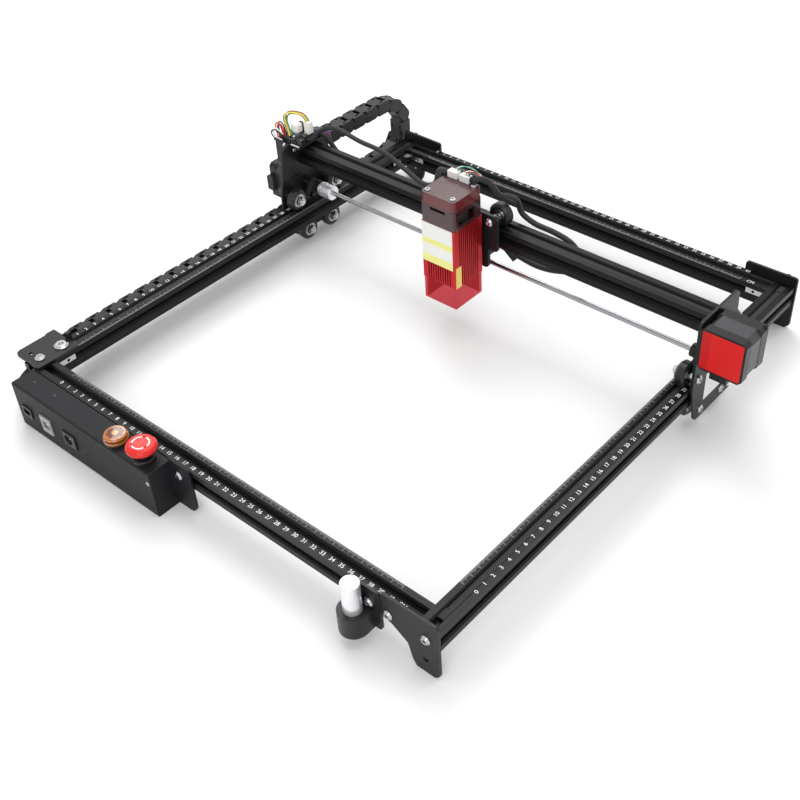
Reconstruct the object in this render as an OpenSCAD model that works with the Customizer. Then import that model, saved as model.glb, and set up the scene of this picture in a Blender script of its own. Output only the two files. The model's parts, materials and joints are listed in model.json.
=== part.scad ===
// Desktop laser cutter: an open frame of V-slot rails, a belt-driven gantry and a finned laser module.
// Millimetres, +Z up. The origin is at the centre of the footprint, on the table.

/* [Frame] */
// Length of the front and rear rails, between the side rails
cross_rail_l = 461.5; // [460:0.5:520]
// Length of the side rails
side_rail_l = 535; // [500:1:600]
// Height of the rails' undersides above the table
foot_h = 30; // [29.5:0.1:30.4]
// Thickness of the steel plates
plate_t = 2.5; // [2.5:0.1:3]

/* [Gantry] */
// Place of the gantry along Y, from the middle of the frame
gantry_y = 107.2; // [55:0.1:110]
// Height of the beam's centre above the rails' top faces
beam_z = 54; // [54:0.1:55]
// Radius of the V-wheels' rims
wheel_r = 11.95; // [11.9:0.01:12]
// Side of the square stepper motors
motor_s = 42.3; // [40:0.1:42.3]
// Length of the stepper motors
motor_l = 33.75; // [28:0.25:40]

/* [Carriage and laser] */
// Place of the carriage along X, from the middle of the frame
head_x = -7.55; // [-15:0.05:20]
// Number of fins' gaps on each side of the laser module
fin_gaps = 10; // [6:1:11]

/* [Cable chain] */
// Pitch of the chain's links
link_p = 20.2; // [20:0.1:20.4]
// Number of links in the lower run that stay in place
lower_links = 14; // [10:1:14]

/* [Control box] */
// Length of the control box
box_l = 194; // [190:1:210]
// Depth of the control box in front of the rail
box_d = 24.8; // [24.5:0.1:30]

/* [Hidden] */

$fn = 48;

rail_s = 20;
rail_half = rail_s / 2;
// Side of the square laser module
head_s = 40;
inner_x = cross_rail_l / 2;
outer_x = inner_x + rail_s;
track_x = inner_x + rail_half;
end_y = side_rail_l / 2;
top_z = foot_h + rail_s;
mid_z = foot_h + rail_half;

// The end plates run just outside the side rails.
plate_in = outer_x + 1.05;
plate_out = plate_in + plate_t;
axle_h = 10.4;
upper_dy = 28.7;
lower_dy = 18;
upper_z = top_z + axle_h;
lower_z = foot_h - axle_h;
shaft_z = top_z + 14.5;
beam_c = top_z + beam_z;

belt_t = 1;
belt_w = 6;
pulley_r = 6.1;
belt_r = 6.7;
x_pulley_x = plate_out + 23.25;
idler_x = -plate_out - 10.25;

box_x0 = -inner_x - 4.8;
box_y0 = -end_y - box_d;
box_h = top_z;
button_y = -end_y - 13.3;
amber_x = box_x0 + 139;
stop_x = box_x0 + 176;
gauge_x = inner_x - 53.9;
gauge_y = -end_y - 12.3;

chain_x = -plate_out - 10.1;
chain_h = 14.4;
bend_r = link_p / (2 * sin(18));
chain_z = beam_c - 5.7;
chain_low_z = chain_z - 2 * bend_r;
chain_end_y = gantry_y + 135.8;
bend_links = 5;
root_links = 1;
upper_links = 4;
end_links = 22 - lower_links;

board_x = -plate_out + 15.75;
flange_y = gantry_y - 7.1;

head_y0 = gantry_y - 65;
head_y1 = head_y0 + head_s;
head_yc = (head_y0 + head_y1) / 2;
fin_z0 = top_z + 21;
cap_z0 = top_z + 84;
cover_z0 = top_z + 104;
head_z1 = top_z + 115;

// The footprint's middle, which the model is moved by to put the origin under its centre.
shift_x = (x_pulley_x + motor_s / 2 - plate_out - motor_l) / 2;
shift_y = (chain_end_y + bend_r * cos(18) + chain_h / 2 + button_y - 13.5) / 2;

// Route of the cable from the adapter board over the beam to the laser module
head_route = [[board_x, gantry_y - 6, 123.4], [-231, gantry_y - 5, 126], [-220, gantry_y - 2, 138],
              [-200, gantry_y, 146], [-166, gantry_y, 142], [-132, gantry_y, 140],
              [-104, gantry_y, 130], [-80, gantry_y - 2, 124], [-60, gantry_y - 8, 134],
              [-46, gantry_y - 18, 154], [-38, gantry_y - 24, 164], [head_x - 20.2, head_y1 - 2.4, 168.2],
              [head_x - 18.2, head_y1 - 2.4, 168.2], [head_x - 16.2, head_y1 - 2.4, 168.2]];

// Route of the cable from the laser module round the slack loop and back behind the beam
slack_route = [[head_x + 9.2, head_y1 - 1.5, 168.4], [head_x + 11.2, head_y1 - 1.5, 168.4],
               [head_x + 13.2, head_y1 - 1.5, 168.4], [head_x + 18, head_y1 + 2, 170.2],
               [16, gantry_y - 17, 165], [21, gantry_y - 9, 151],
               [22.5, gantry_y + 3, 144], [24, gantry_y + 14.5, 134], [28, gantry_y + 17, 121],
               [44, gantry_y + 17, 115], [66, gantry_y + 17, 114], [86, gantry_y + 17.5, 109],
               [96, gantry_y + 18, 96], [92, gantry_y + 19, 82], [74, gantry_y + 19, 72],
               [46, gantry_y + 18.5, 67], [10, gantry_y + 18, 72], [-60, gantry_y + 17, 84],
               [-150, gantry_y + 17, 88], [-200, gantry_y + 17.5, 97], [-219, gantry_y + 17, 106],
               [-226, gantry_y + 15, 116], [-231, gantry_y + 13.2, 122.4], [board_x, gantry_y + 13, 123.4]];

// Route of the sleeve from the control box's end to the cable chain
box_route = [[box_x0 + 1, -end_y - 12, 22], [box_x0 - 14, -end_y - 12, 22],
             [box_x0 - 26, -end_y - 4, 24], [chain_x, -end_y + 10, 29],
             [chain_x, -end_y + 28, chain_low_z], [chain_x, -end_y + 44, chain_low_z]];

function unit(v) = v / norm(v);

// Points of the arc that rounds the corner b between a and c.
function corner_arc(a, b, c, r, n) =
    let (u = unit(a - b), v = unit(c - b), half = acos(u * v) / 2)
    let (m = b + unit(u + v) * r / sin(half), s = b + u * r / tan(half), e = b + v * r / tan(half))
    let (a0 = atan2(s[1] - m[1], s[0] - m[0]), a1 = atan2(e[1] - m[1], e[0] - m[0]))
    let (d = a1 - a0, turn = d > 180 ? d - 360 : d < -180 ? d + 360 : d)
    [for (k = [0:n]) m + r * [cos(a0 + turn * k / n), sin(a0 + turn * k / n)]];

// An outline given as [x, y, corner radius], with its corners rounded.
function rounded(p, n = 5) =
    [for (i = [0:len(p) - 1])
        let (a = p[(i + len(p) - 1) % len(p)], b = p[i], c = p[(i + 1) % len(p)])
        each b[2] > 0 ? corner_arc([a[0], a[1]], [b[0], b[1]], [c[0], c[1]], b[2], n) : [[b[0], b[1]]]];

// A point of the smooth curve through the route's points.
function curve_point(p, i, t) =
    let (n = len(p) - 1)
    let (a = p[max(i - 1, 0)], b = p[i], c = p[min(i + 1, n)], d = p[min(i + 2, n)])
    b + 0.5 * t * ((c - a) + t * (2 * a - 5 * b + 4 * c - d + t * (3 * (b - c) + d - a)));

function curve(p, steps) =
    [for (i = [0:len(p) - 2], k = [0:steps - 1]) curve_point(p, i, k / steps), p[len(p) - 1]];

function tangent(q, i) = unit(q[min(i + 1, len(q) - 1)] - q[max(i - 1, 0)]);

// A round tube of n sides swept along the points q.
module sweep(q, r, n) {
    rings = [for (i = [0:len(q) - 1])
        let (t = tangent(q, i), s = unit(cross(t, [0.1, 0.2, 1])), w = cross(s, t))
        for (k = [0:n - 1]) q[i] + r * (cos(360 * k / n) * s + sin(360 * k / n) * w)];
    last = len(q) - 1;
    sides = [for (i = [0:last - 1], k = [0:n - 1])
        let (a = i * n + k, b = i * n + (k + 1) % n)
        each [[a, b, b + n], [a, b + n, a + n]]];
    caps = [[for (k = [n - 1:-1:0]) k], [for (k = [0:n - 1]) last * n + k]];
    polyhedron(rings, concat(sides, caps));
}

module turn_y() {
    rotate([-90, 0, 0]) children();
}

module turn_x() {
    rotate([0, 90, 0]) children();
}

module place() {
    translate([-shift_x, -shift_y, 0]) children();
}

// Button-head screw standing on z = 0, its shank reaching down.
module screw(r, h, shank_r, shank_l) {
    difference() {
        rotate_extrude()
            polygon([[0, 0], [r, 0], [r, 0.45 * h], [0.68 * r, h], [0, h]]);
        translate([0, 0, 0.4 * h]) cylinder(h = h, r = 0.42 * r, $fn = 6);
    }
    translate([0, 0, -shank_l]) cylinder(h = shank_l, r = shank_r);
}

// One V-slot, cut from the face at +Y.
module slot_cut() {
    polygon([[-4.58, 10.1], [-4.58, 10], [-3.1, 8.52], [-3.1, 8.2], [-5.5, 8.2], [-5.5, 7], [-2.9, 4.2],
             [2.9, 4.2], [5.5, 7], [5.5, 8.2], [3.1, 8.2], [3.1, 8.52], [4.58, 10], [4.58, 10.1]]);
}

// Section of the V-slot rail: four slots and a tapped centre.
module rail_section() {
    difference() {
        square(rail_s, center = true);
        for (a = [0:90:270]) rotate(a) slot_cut();
        circle(r = 2.5);
    }
}

module rail(l) {
    linear_extrude(l, center = true) rail_section();
}

// Frame

module front_rail() {
    color("#1c1d20") translate([0, -end_y + rail_half, mid_z]) turn_x() rail(cross_rail_l);
}

module rear_rail() {
    color("#1c1d20") translate([0, end_y - rail_half, mid_z]) turn_x() rail(cross_rail_l);
}

module left_rail() {
    color("#1c1d20") translate([-track_x, 0, mid_z]) turn_y() rail(side_rail_l);
}

module right_rail() {
    color("#1c1d20") translate([track_x, 0, mid_z]) turn_y() rail(side_rail_l);
}

// Plate that closes a corner and stands on the table. Its outline is seen from outside.
module foot_plate() {
    outline = [[-53.8, top_z + 9, 3], [-53.8, mid_z - 7, 3], [-44.3, mid_z - 8.5, 3], [-28.8, 21, 3],
               [-24.8, 6, 5], [-21.3, 0, 0], [-3.3, 0, 4], [1.5, 5, 3], [1.5, top_z + 9.6, 3]];
    rotate([90, 0, 0]) linear_extrude(plate_t) difference() {
        polygon(rounded(outline));
        translate([-46.3, mid_z]) circle(r = 2.6);
        translate([-10, mid_z]) circle(r = 2.6);
        translate([-11.8, 15]) circle(r = 2.75);
    }
}

module front_right_foot_plate() {
    color("#18191b") translate([outer_x, -end_y, 0]) foot_plate();
}

module rear_right_foot_plate() {
    color("#18191b") mirror([0, 1, 0]) translate([outer_x, -end_y, 0]) foot_plate();
}

module rear_left_foot_plate() {
    color("#18191b") mirror([1, 0, 0]) mirror([0, 1, 0]) translate([outer_x, -end_y, 0]) foot_plate();
}

// Flat plate on top of the front-left corner, overhanging to carry the cable chain's fixed end.
module front_left_corner_plate() {
    outline = [[-16.2, 1.4, 6], [21.3, 1.4, 2], [21.3, 47.2, 3], [-16.2, 44.7, 3]];
    color("#18191b") translate([-outer_x, -end_y, top_z]) {
        linear_extrude(plate_t) difference() {
            polygon(rounded(outline));
            translate([10, 35.3]) circle(r = 2.6);
            translate([10, 11.4]) circle(r = 2.6);
            translate([-3.1, 10.5]) circle(r = 2.1);
        }
        translate([3.2, 44.7, 0]) cube([4, 5, 9]);
    }
}

// L of flat bar that lies in the inner slots of two rails.
module corner_bracket() {
    outline = [[-22, -5.4], [5.4, -5.4], [5.4, 22], [1.9, 22], [1.9, -1.9], [-22, -1.9]];
    translate([0, 0, -2.8]) linear_extrude(5.6) polygon(outline);
}

module corner_brackets() {
    color("#c9ccd0") for (sx = [0, 1], sy = [0, 1])
        mirror([sx, 0, 0]) mirror([0, sy, 0])
            difference() {
                translate([inner_x, -end_y + rail_s, mid_z]) corner_bracket();
                translate([inner_x - 14, -end_y + rail_s, mid_z]) turn_y()
                    cylinder(h = 20, r = 1.5, center = true);
                translate([inner_x, -end_y + rail_s + 14, mid_z]) turn_x()
                    cylinder(h = 20, r = 1.5, center = true);
            }
}

module plate_screw(x, z) {
    translate([x, -end_y - plate_t, z]) rotate([90, 0, 0]) screw(4.5, 2.8, 2.4, plate_t + 5);
}

module frame_screws() {
    color("#b9bcc2") {
        for (c = [[0, 0], [0, 1], [1, 1]], x = [outer_x - 46.3, outer_x - 10])
            mirror([c[0], 0, 0]) mirror([0, c[1], 0]) plate_screw(x, mid_z);
        plate_screw(box_x0 + box_l + 11, mid_z);
        plate_screw(gauge_x + 8.1, mid_z);
        translate([-track_x, -end_y + 35.3, top_z + plate_t]) screw(7, 3, 2.4, plate_t + 5);
        translate([-track_x, -end_y + 11.4, top_z + plate_t]) screw(5, 2.8, 2.4, plate_t + 5);
    }
}

module rear_bumpers() {
    color("#202020") for (s = [-1, 1])
        translate([s * (track_x - 1), end_y + plate_t, top_z + 4]) turn_y() {
            cylinder(h = 2, r = 4);
            translate([0, 0, 2]) cylinder(h = 3, r1 = 4, r2 = 3);
        }
}

// The two fixed belts lie in the top slots, held by a block at each end.
module y_belts() {
    belt_z = top_z - 3.8;
    color("#262626") for (s = [-1, 1]) {
        y0 = s < 0 ? -end_y + 42 : -end_y + 14;
        translate([s * track_x - belt_w / 2, y0, belt_z]) cube([belt_w, end_y - 5 - y0, belt_t]);
        for (y = [y0, end_y - 13])
            translate([s * track_x - 4.4, y, belt_z - 0.2]) cube([8.8, 10, 2]);
    }
}

// Control box

module box_section() {
    polygon(rounded([[-end_y - 0.02, 0, 2], [-end_y - 0.02, box_h, 2], [box_y0, box_h, 2], [box_y0, 0, 2]], 3));
}

module control_box() {
    wall = 1.5;
    color("#16171a") difference() {
        union() {
            difference() {
                translate([box_x0, 0, 0]) rotate([90, 0, 90]) linear_extrude(box_l) box_section();
                translate([box_x0 + wall, box_y0 + wall, wall])
                    cube([box_l - 2 * wall, box_d - 2 * wall, box_h - 2 * wall]);
            }
            translate([box_x0 + box_l - 1, -end_y, 0]) rotate([90, 0, 0]) linear_extrude(plate_t)
                polygon(rounded([[0, 2, 0], [26, 2, 9], [26, box_h + 2, 2], [0, box_h + 2, 0]]));
        }
        translate([box_x0 + box_l + 11, -end_y, mid_z]) turn_y() cylinder(h = 20, r = 2.5, center = true);
        translate([box_x0 + 8.8, box_y0 - 1, 17.8]) cube([13.4, 4, 11.4]);
        translate([box_x0 + 36.8, box_y0 - 1, 13.8]) cube([15.4, 4, 18.4]);
        translate([box_x0 + 70.8, box_y0 - 1, 16.8]) cube([17.4, 4, 15.4]);
        translate([amber_x, button_y, box_h - 5]) cylinder(h = 10, r = 8.05);
        translate([stop_x, button_y, box_h - 5]) cylinder(h = 10, r = 8.05);
        translate([box_x0 - 1, -end_y - 12, 22]) turn_x() cylinder(h = 4, r = 3.6);
        for (x = [16.3, 46.3]) translate([box_x0 + x, -end_y - 10.7, box_h - 0.6])
            cylinder(h = 2, r = 2.6);
    }
}

// Sockets in the front of the box, each with its open mouth.
module ports() {
    mouth_y = box_y0 - 1.5;
    color("#d8d8d8") difference() {
        translate([box_x0 + 37, mouth_y, 14]) cube([15, 14, 18]);
        translate([box_x0 + 39.5, mouth_y - 1, 18.5]) cube([10, 11, 9]);
    }
    color("#202020") difference() {
        translate([box_x0 + 9, mouth_y, 18]) cube([13, 14, 11]);
        translate([box_x0 + 10.5, mouth_y - 1, 20]) cube([10, 11, 7]);
    }
    color("#202020") difference() {
        translate([box_x0 + 71, mouth_y, 17]) cube([17, 14, 15]);
        translate([box_x0 + 78, mouth_y - 1, 24.2]) turn_y() {
            cylinder(h = 3, r = 5.5);
            cylinder(h = 12, r = 3.4);
        }
    }
}

module collar(x, r, h, bore) {
    translate([x, button_y, box_h]) rotate_extrude()
        polygon([[bore, -10], [8, -10], [8, 0], [r, 0], [r, h - 0.8], [r - 0.8, h], [bore, h]]);
}

module button_collars() {
    color("#202020") {
        collar(amber_x, 11, 2.5, 7.05);
        collar(stop_x, 10, 4, 6.05);
    }
}

module amber_button() {
    color("#b5651d") translate([amber_x, button_y, 0]) {
        translate([0, 0, box_h - 8]) cylinder(h = 14, r = 7);
        translate([0, 0, box_h + 5.7]) rotate_extrude()
            polygon([[0, 0], [10.2, 0], [10.2, 1.6], [9.2, 2.8], [0, 3.2]]);
    }
}

module stop_stem() {
    color("#2a2a2a") translate([stop_x, button_y, box_h - 16]) cylinder(h = 26.4, r = 6);
}

module stop_cap() {
    color("#d8201c") translate([stop_x, button_y, box_h + 10.5]) difference() {
        rotate_extrude()
            polygon([[0, 0], [9, 0], [12.6, 1.2], [13.5, 2.6], [13.4, 4.6], [12, 6.6], [9.4, 7.6], [0, 7.6]]);
        translate([0, 0, 6.8]) difference() {
            cylinder(h = 2, r = 8);
            cylinder(h = 2, r = 6.6);
        }
    }
}

// Focus gauge and its holder

module gauge_holder() {
    color("#1b1b1d") {
        translate([gauge_x, gauge_y, 14]) difference() {
            union() {
                cylinder(h = 21, r = 12.5);
                translate([-12.5, 0, 0]) cube([25, 9.8, 21]);
            }
            translate([0, 0, 2]) cylinder(h = 30, r = 7.85);
        }
        translate([gauge_x, -end_y, 0]) rotate([90, 0, 0]) linear_extrude(2.5) difference() {
            polygon(rounded([[-13.4, 14, 3], [19.1, 14, 3], [19.1, top_z + 5, 4], [-13.4, top_z + 5, 4]]));
            translate([8.1, mid_z]) circle(r = 2.6);
        }
    }
}

module focus_gauge() {
    color("#f2f2f0") translate([gauge_x, gauge_y, 16]) rotate_extrude()
        polygon([[0, 0], [7.2, 0], [7.75, 0.6], [7.75, 47.8], [7.1, 48.6], [0, 48.6]]);
}

// Cable chain

// One flank of a link: the rounded ear of each end, at its own distance from the middle.
module link_flank(from_u, to_u, ear_u, hole_r) {
    difference() {
        union() {
            translate([min(from_u, to_u), -chain_h / 2]) square([abs(to_u - from_u), chain_h]);
            translate([ear_u, 0]) circle(r = chain_h / 2);
        }
        if (hole_r > 0) translate([ear_u, 0]) circle(r = hole_r);
    }
}

// A link along +Y between its pivots at y = -link_p / 2 and y = link_p / 2.
module chain_link() {
    half = link_p / 2;
    for (s = [0, 1]) mirror([s, 0, 0]) {
        translate([7.2, 0, 0]) rotate([90, 0, 90]) linear_extrude(2) link_flank(-2.5, half, half, 0);
        translate([5.1, 0, 0]) rotate([90, 0, 90]) linear_extrude(2) link_flank(-half, 2.5, -half, 2.5);
        translate([7, -2.5, -chain_h / 2]) cube([0.3, 5, chain_h]);
        translate([5.2, half, 0]) turn_x() cylinder(h = 2.2, r = 2.4);
    }
    for (z = [-chain_h / 2, chain_h / 2 - 2]) {
        translate([-5, -7.6, z]) cube([10, 15.2, 2]);
        translate([-5.2, -7.6, z]) cube([10.4, 10.1, 2]);
        translate([-7.3, -2.5, z]) cube([14.6, 5, 2]);
    }
}

module run_of_links(y0, z, count, back) {
    for (k = [0:count - 1])
        translate([chain_x, y0 + (back ? -1 : 1) * link_p * (k + 0.5), z])
            rotate([back ? 180 : 0, 0, 0]) chain_link();
}

module chain_upper_root() {
    y0 = chain_end_y - (root_links + upper_links) * link_p;
    color("#161616") {
        run_of_links(y0, chain_z, root_links, false);
        for (s = [-1, 1])
            translate([chain_x + s * 8.2 - 1, 0, chain_z]) rotate([90, 0, 90]) linear_extrude(2)
                translate([y0, 0]) link_flank(gantry_y + 19.1 - y0, 0, 0, 0);
        translate([chain_x - 9.2, gantry_y + 19.1, chain_z - chain_h / 2]) cube([18.4, 3, chain_h]);
        for (s = [0, 1]) translate([chain_x, y0, chain_z]) mirror([s, 0, 0])
            translate([5.2, 0, 0]) turn_x() cylinder(h = 2.2, r = 2.4);
    }
}

module chain_upper_run() {
    color("#161616") run_of_links(chain_end_y - upper_links * link_p, chain_z, upper_links, false);
}

module chain_bend() {
    color("#161616") for (k = [0:bend_links - 1])
        translate([chain_x, chain_end_y, chain_z - bend_r])
            rotate([-36 * (k + 0.5), 0, 0]) translate([0, 0, bend_r * cos(18)]) chain_link();
}

module chain_lower_end() {
    color("#161616") run_of_links(chain_end_y, chain_low_z, end_links, true);
}

module chain_lower_run() {
    y1 = chain_end_y - end_links * link_p;
    y0 = y1 - lower_links * link_p;
    post_y = -end_y + 30;
    color("#161616") {
        run_of_links(y1, chain_low_z, lower_links, true);
        for (s = [0, 1]) translate([chain_x, 0, chain_low_z]) mirror([s, 0, 0])
            translate([5.1, 0, 0]) rotate([90, 0, 90]) linear_extrude(2)
                translate([y0, 0]) link_flank(post_y + 8 - y0, 0, 0, 2.5);
        translate([chain_x - 7.1, post_y + 8, chain_low_z - chain_h / 2]) difference() {
            cube([14.2, 10, top_z - chain_low_z + chain_h / 2]);
            translate([3, -1, 2]) cube([8.2, 12, chain_h - 4]);
        }
    }
}

module box_cable() {
    color("#111111") sweep(curve(box_route, 4), 3, 8);
}

// Gantry

module gantry_beam() {
    color("#1c1d20") translate([0, gantry_y, beam_c]) turn_x() rail(2 * plate_in);
}

// Holes of an end plate in Y and Z, from the gantry's middle.
module end_plate_holes() {
    for (s = [-1, 1]) {
        translate([s * upper_dy, upper_z]) circle(r = 2.6);
        translate([s * lower_dy, lower_z]) circle(r = 2.6);
        translate([0, beam_c + s * 7.2]) square([8, 4.6], center = true);
    }
    translate([0, beam_c]) circle(r = 2.2);
}

module left_end_plate() {
    outline = [[-31, top_z + 67.5, 8], [-35, top_z + 35, 6], [-39, top_z + 15, 6], [-39, top_z - 5, 6],
               [-25, top_z - 41, 5], [41.5, top_z - 41, 4], [41.5, top_z + 38, 3], [29, top_z + 52.6, 3],
               [29, top_z + 68, 3]];
    color("#18191b") translate([-plate_out, gantry_y, 0]) rotate([90, 0, 90]) linear_extrude(plate_t)
        difference() {
            polygon(rounded(outline));
            end_plate_holes();
            translate([0, shaft_z]) circle(r = 11.2);
            for (a = [-1, 1], b = [-1, 1]) translate([15.5 * a, shaft_z + 15.5 * b]) circle(r = 1.6);
        }
}

module right_end_plate() {
    outline = [[-36.4, top_z + 75, 4], [-36.4, top_z, 6], [-25, top_z - 41, 5], [41.5, top_z - 41, 4],
               [41.5, top_z + 38, 3], [29, top_z + 52.6, 3], [28.5, top_z + 70, 2], [24, top_z + 75, 2]];
    color("#18191b") {
        translate([plate_in, gantry_y, 0]) rotate([90, 0, 90]) linear_extrude(plate_t) difference() {
            polygon(rounded(outline));
            end_plate_holes();
            translate([0, shaft_z]) circle(r = 2.55);
        }
        translate([plate_in - 1.5, gantry_y, shaft_z]) turn_x() difference() {
            cylinder(h = 1.5, r = 6);
            translate([0, 0, -1]) cylinder(h = 4, r = 2.55);
        }
        translate([0, flange_y + plate_t, 0]) rotate([90, 0, 0]) linear_extrude(plate_t) difference() {
            polygon(rounded([[plate_out - 0.5, beam_c - 22, 0], [x_pulley_x + motor_s / 2, beam_c - 22, 5],
                             [x_pulley_x + motor_s / 2, beam_c + 21, 3], [plate_out - 0.5, beam_c + 21, 0]]));
            translate([x_pulley_x, beam_c]) circle(r = 11.2);
            for (a = [-1, 1], b = [-1, 1]) translate([x_pulley_x + 15.5 * a, beam_c + 15.5 * b]) circle(r = 1.6);
        }
    }
}

// Section of a stepper motor's cap or of its laminated middle.
module motor_section(s, cut) {
    h = s / 2;
    polygon([[-h, -h + cut], [-h + cut, -h], [h - cut, -h], [h, -h + cut],
             [h, h - cut], [h - cut, h], [-h + cut, h], [-h, h - cut]]);
}

// Stepper motor on the axis Z, its front face at z = 0 and its boss above.
module motor() {
    difference() {
        union() {
            translate([0, 0, -8]) linear_extrude(8) motor_section(motor_s, 3.5);
            translate([0, 0, -motor_l + 9]) linear_extrude(motor_l - 17) motor_section(motor_s - 0.6, 5.5);
            translate([0, 0, -motor_l]) linear_extrude(9) motor_section(motor_s, 3.5);
            cylinder(h = 2, r = 11);
        }
        translate([0, 0, -20]) cylinder(h = 30, r = 2.55);
        for (a = [-1, 1], b = [-1, 1]) translate([15.5 * a, 15.5 * b, -4]) cylinder(h = 5, r = 1.5);
    }
}

module x_motor() {
    color("#2a2b2e") {
        translate([x_pulley_x, flange_y, beam_c]) turn_y() motor();
        translate([x_pulley_x - 8, flange_y - motor_l, beam_c - motor_s / 2 - 5.5]) cube([16, 9, 5.6]);
    }
}

module y_motor() {
    color("#2a2b2e") {
        translate([-plate_out, gantry_y, shaft_z]) turn_x() motor();
        translate([-plate_out - motor_l, gantry_y - motor_s / 2 - 5.5, shaft_z - 8]) cube([9, 5.6, 16]);
    }
}

// The X belt runs in the beam's top and bottom slots and round both pulleys.
module belt_ring(r) {
    for (x = [idler_x, x_pulley_x]) translate([x, 0]) circle(r = r);
    translate([idler_x, -r]) square([x_pulley_x - idler_x, 2 * r]);
}

module x_belt() {
    color("#262626") translate([0, gantry_y + belt_w / 2, beam_c]) rotate([90, 0, 0])
        linear_extrude(belt_w) difference() {
            belt_ring(belt_r + belt_t / 2);
            belt_ring(belt_r - belt_t / 2);
        }
}

// Bent cover over the idler, with the idler's axle and its spacers.
module idler_housing() {
    x0 = -plate_out - 20.25;
    y0 = gantry_y - 19;
    color("#18191b") {
        difference() {
            translate([x0, y0, beam_c - 12]) cube([20.25, 38, 26]);
            translate([x0 + 2, y0 + 2, beam_c - 13]) cube([30, 34, 25]);
        }
        translate([idler_x, gantry_y, beam_c]) turn_y() {
            translate([0, 0, -17.1]) cylinder(h = 34.2, r = 2.5);
            translate([0, 0, -17.1]) cylinder(h = 12.6, r = 4);
            translate([0, 0, 4.5]) cylinder(h = 12.6, r = 4);
        }
    }
}

// Adapter board on the left end of the beam, with its white connectors.
module adapter_board() {
    z0 = beam_c + 14;
    color("#1f5a34") translate([-plate_out - 20.25, gantry_y - 21, z0]) difference() {
        cube([38, 45, 1.6]);
        for (x = [3.5, 34.5], y = [3.5, 41.5]) translate([x, y, -1]) cylinder(h = 4, r = 1.6);
    }
    color("#e9e7df") {
        for (k = [0:3]) translate([-plate_out - 14 + 8.4 * k, gantry_y - 17, z0 + 1.6]) cube([7, 6, 7]);
        translate([-plate_out + 7.7, gantry_y - 9, z0 + 1.6]) cube([8, 16, 7.5]);
        translate([-plate_out + 7.7, gantry_y + 9, z0 + 1.6]) cube([8, 8, 7.5]);
        for (k = [0:1]) translate([-plate_out - 16 + 10 * k, gantry_y + 10, z0 + 1.6]) cube([8.5, 6, 7]);
    }
}

// A wheel's bolt along +Z from the plate's outer face at z = 0, with spacer and lock nut.
module wheel_bolt(head_r, plate, spacer, spacer_r) {
    translate([0, 0, -2.6]) mirror([0, 0, 1]) translate([0, 0, -2.6]) screw(head_r, 2.6, 2.4, 2);
    cylinder(h = plate + spacer + 15.8, r = 2.5);
    translate([0, 0, plate]) cylinder(h = spacer, r = spacer_r);
    translate([0, 0, plate + spacer + 10.4]) cylinder(h = 4, r = 4.4, $fn = 6);
}

module gantry_bolts() {
    gap = plate_in - track_x - 5.2;
    color("#b9bcc2") for (s = [0, 1]) mirror([s, 0, 0]) {
        for (d = [-1, 1]) {
            translate([plate_out, gantry_y + d * upper_dy, upper_z]) rotate([0, -90, 0])
                wheel_bolt(4.3, plate_t, gap, 4);
            translate([plate_out, gantry_y + d * lower_dy, lower_z]) rotate([0, -90, 0])
                wheel_bolt(3.9, plate_t, gap, 4);
        }
        translate([plate_out, gantry_y, beam_c]) turn_x() screw(3.4, 2.4, 2.1, plate_t + 12);
    }
}

// Toothed pulley on the axis Z, its teeth centred on z = 0 and its hub above.
module pulley(bore, hub_l) {
    difference() {
        union() {
            linear_extrude(7, center = true) difference() {
                circle(r = pulley_r);
                for (k = [0:19]) rotate(18 * k) translate([pulley_r, 0]) circle(r = 0.55, $fn = 16);
            }
            for (z = [-4.3, 3.5]) translate([0, 0, z]) cylinder(h = 0.8, r = 8);
            translate([0, 0, 4.3]) cylinder(h = hub_l, r = 6.6);
        }
        translate([0, 0, -20]) cylinder(h = 40, r = bore);
    }
}

module x_drive_pulley() {
    color("#2b2b2d") translate([x_pulley_x, gantry_y, beam_c]) turn_y() {
        pulley(2, 5.4);
        translate([0, 0, -24]) cylinder(h = 34.5, r = 2.5);
    }
}

module x_idler_pulley() {
    color("#c9ccd0") translate([idler_x, gantry_y, beam_c]) turn_y() difference() {
        union() {
            cylinder(h = 7, r = pulley_r, center = true);
            for (z = [-4.3, 3.5]) translate([0, 0, z]) cylinder(h = 0.8, r = 8);
        }
        cylinder(h = 20, r = 2.55, center = true);
    }
}

module drive_shaft() {
    color("#d5d8dc") translate([-plate_out - 17, gantry_y, shaft_z]) turn_x()
        cylinder(h = 2 * plate_out + 18.5, r = 2.5);
}

// Slit coupling that joins the motor's shaft to the long shaft.
module shaft_coupling() {
    x0 = -inner_x + 0.3;
    color("#cfd2d6") translate([x0, gantry_y, shaft_z]) turn_x() difference() {
        rotate_extrude() polygon([[2.5, 0], [9, 0], [9.75, 0.75], [9.75, 23.25], [9, 24], [2.5, 24]]);
        for (z = [5, 18.2]) translate([-11, 0, z]) cube([22, 12, 0.8]);
        for (z = [9.4, 13.8]) translate([-11, -12, z]) cube([22, 12, 0.8]);
        for (z = [2.4, 21.2]) translate([6, 0, z]) turn_y() cylinder(h = 12, r = 1.3);
    }
}

module y_pulleys() {
    color("#2b2b2d") for (s = [0, 1]) mirror([s, 0, 0])
        translate([track_x, gantry_y, shaft_z]) rotate([0, -90, 0]) pulley(2.5, 5.3);
}

// Points of the belt's middle from under one wheel over the pulley and under the other.
function loop_half() =
    let (a = wheel_r + 0.1 + belt_t / 2, b = belt_r, dz = shaft_z - upper_z)
    let (d = norm([upper_dy, dz]), slope = atan2(dz, upper_dy) + asin((a + b) / d))
    concat([for (k = [0:4]) [-upper_dy, upper_z] + a * [cos(-90 + slope * k / 4), sin(-90 + slope * k / 4)]],
           [for (k = [0:6]) let (t = slope + 90 - slope * k / 6) [b * cos(t), shaft_z + b * sin(t)]]);

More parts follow.
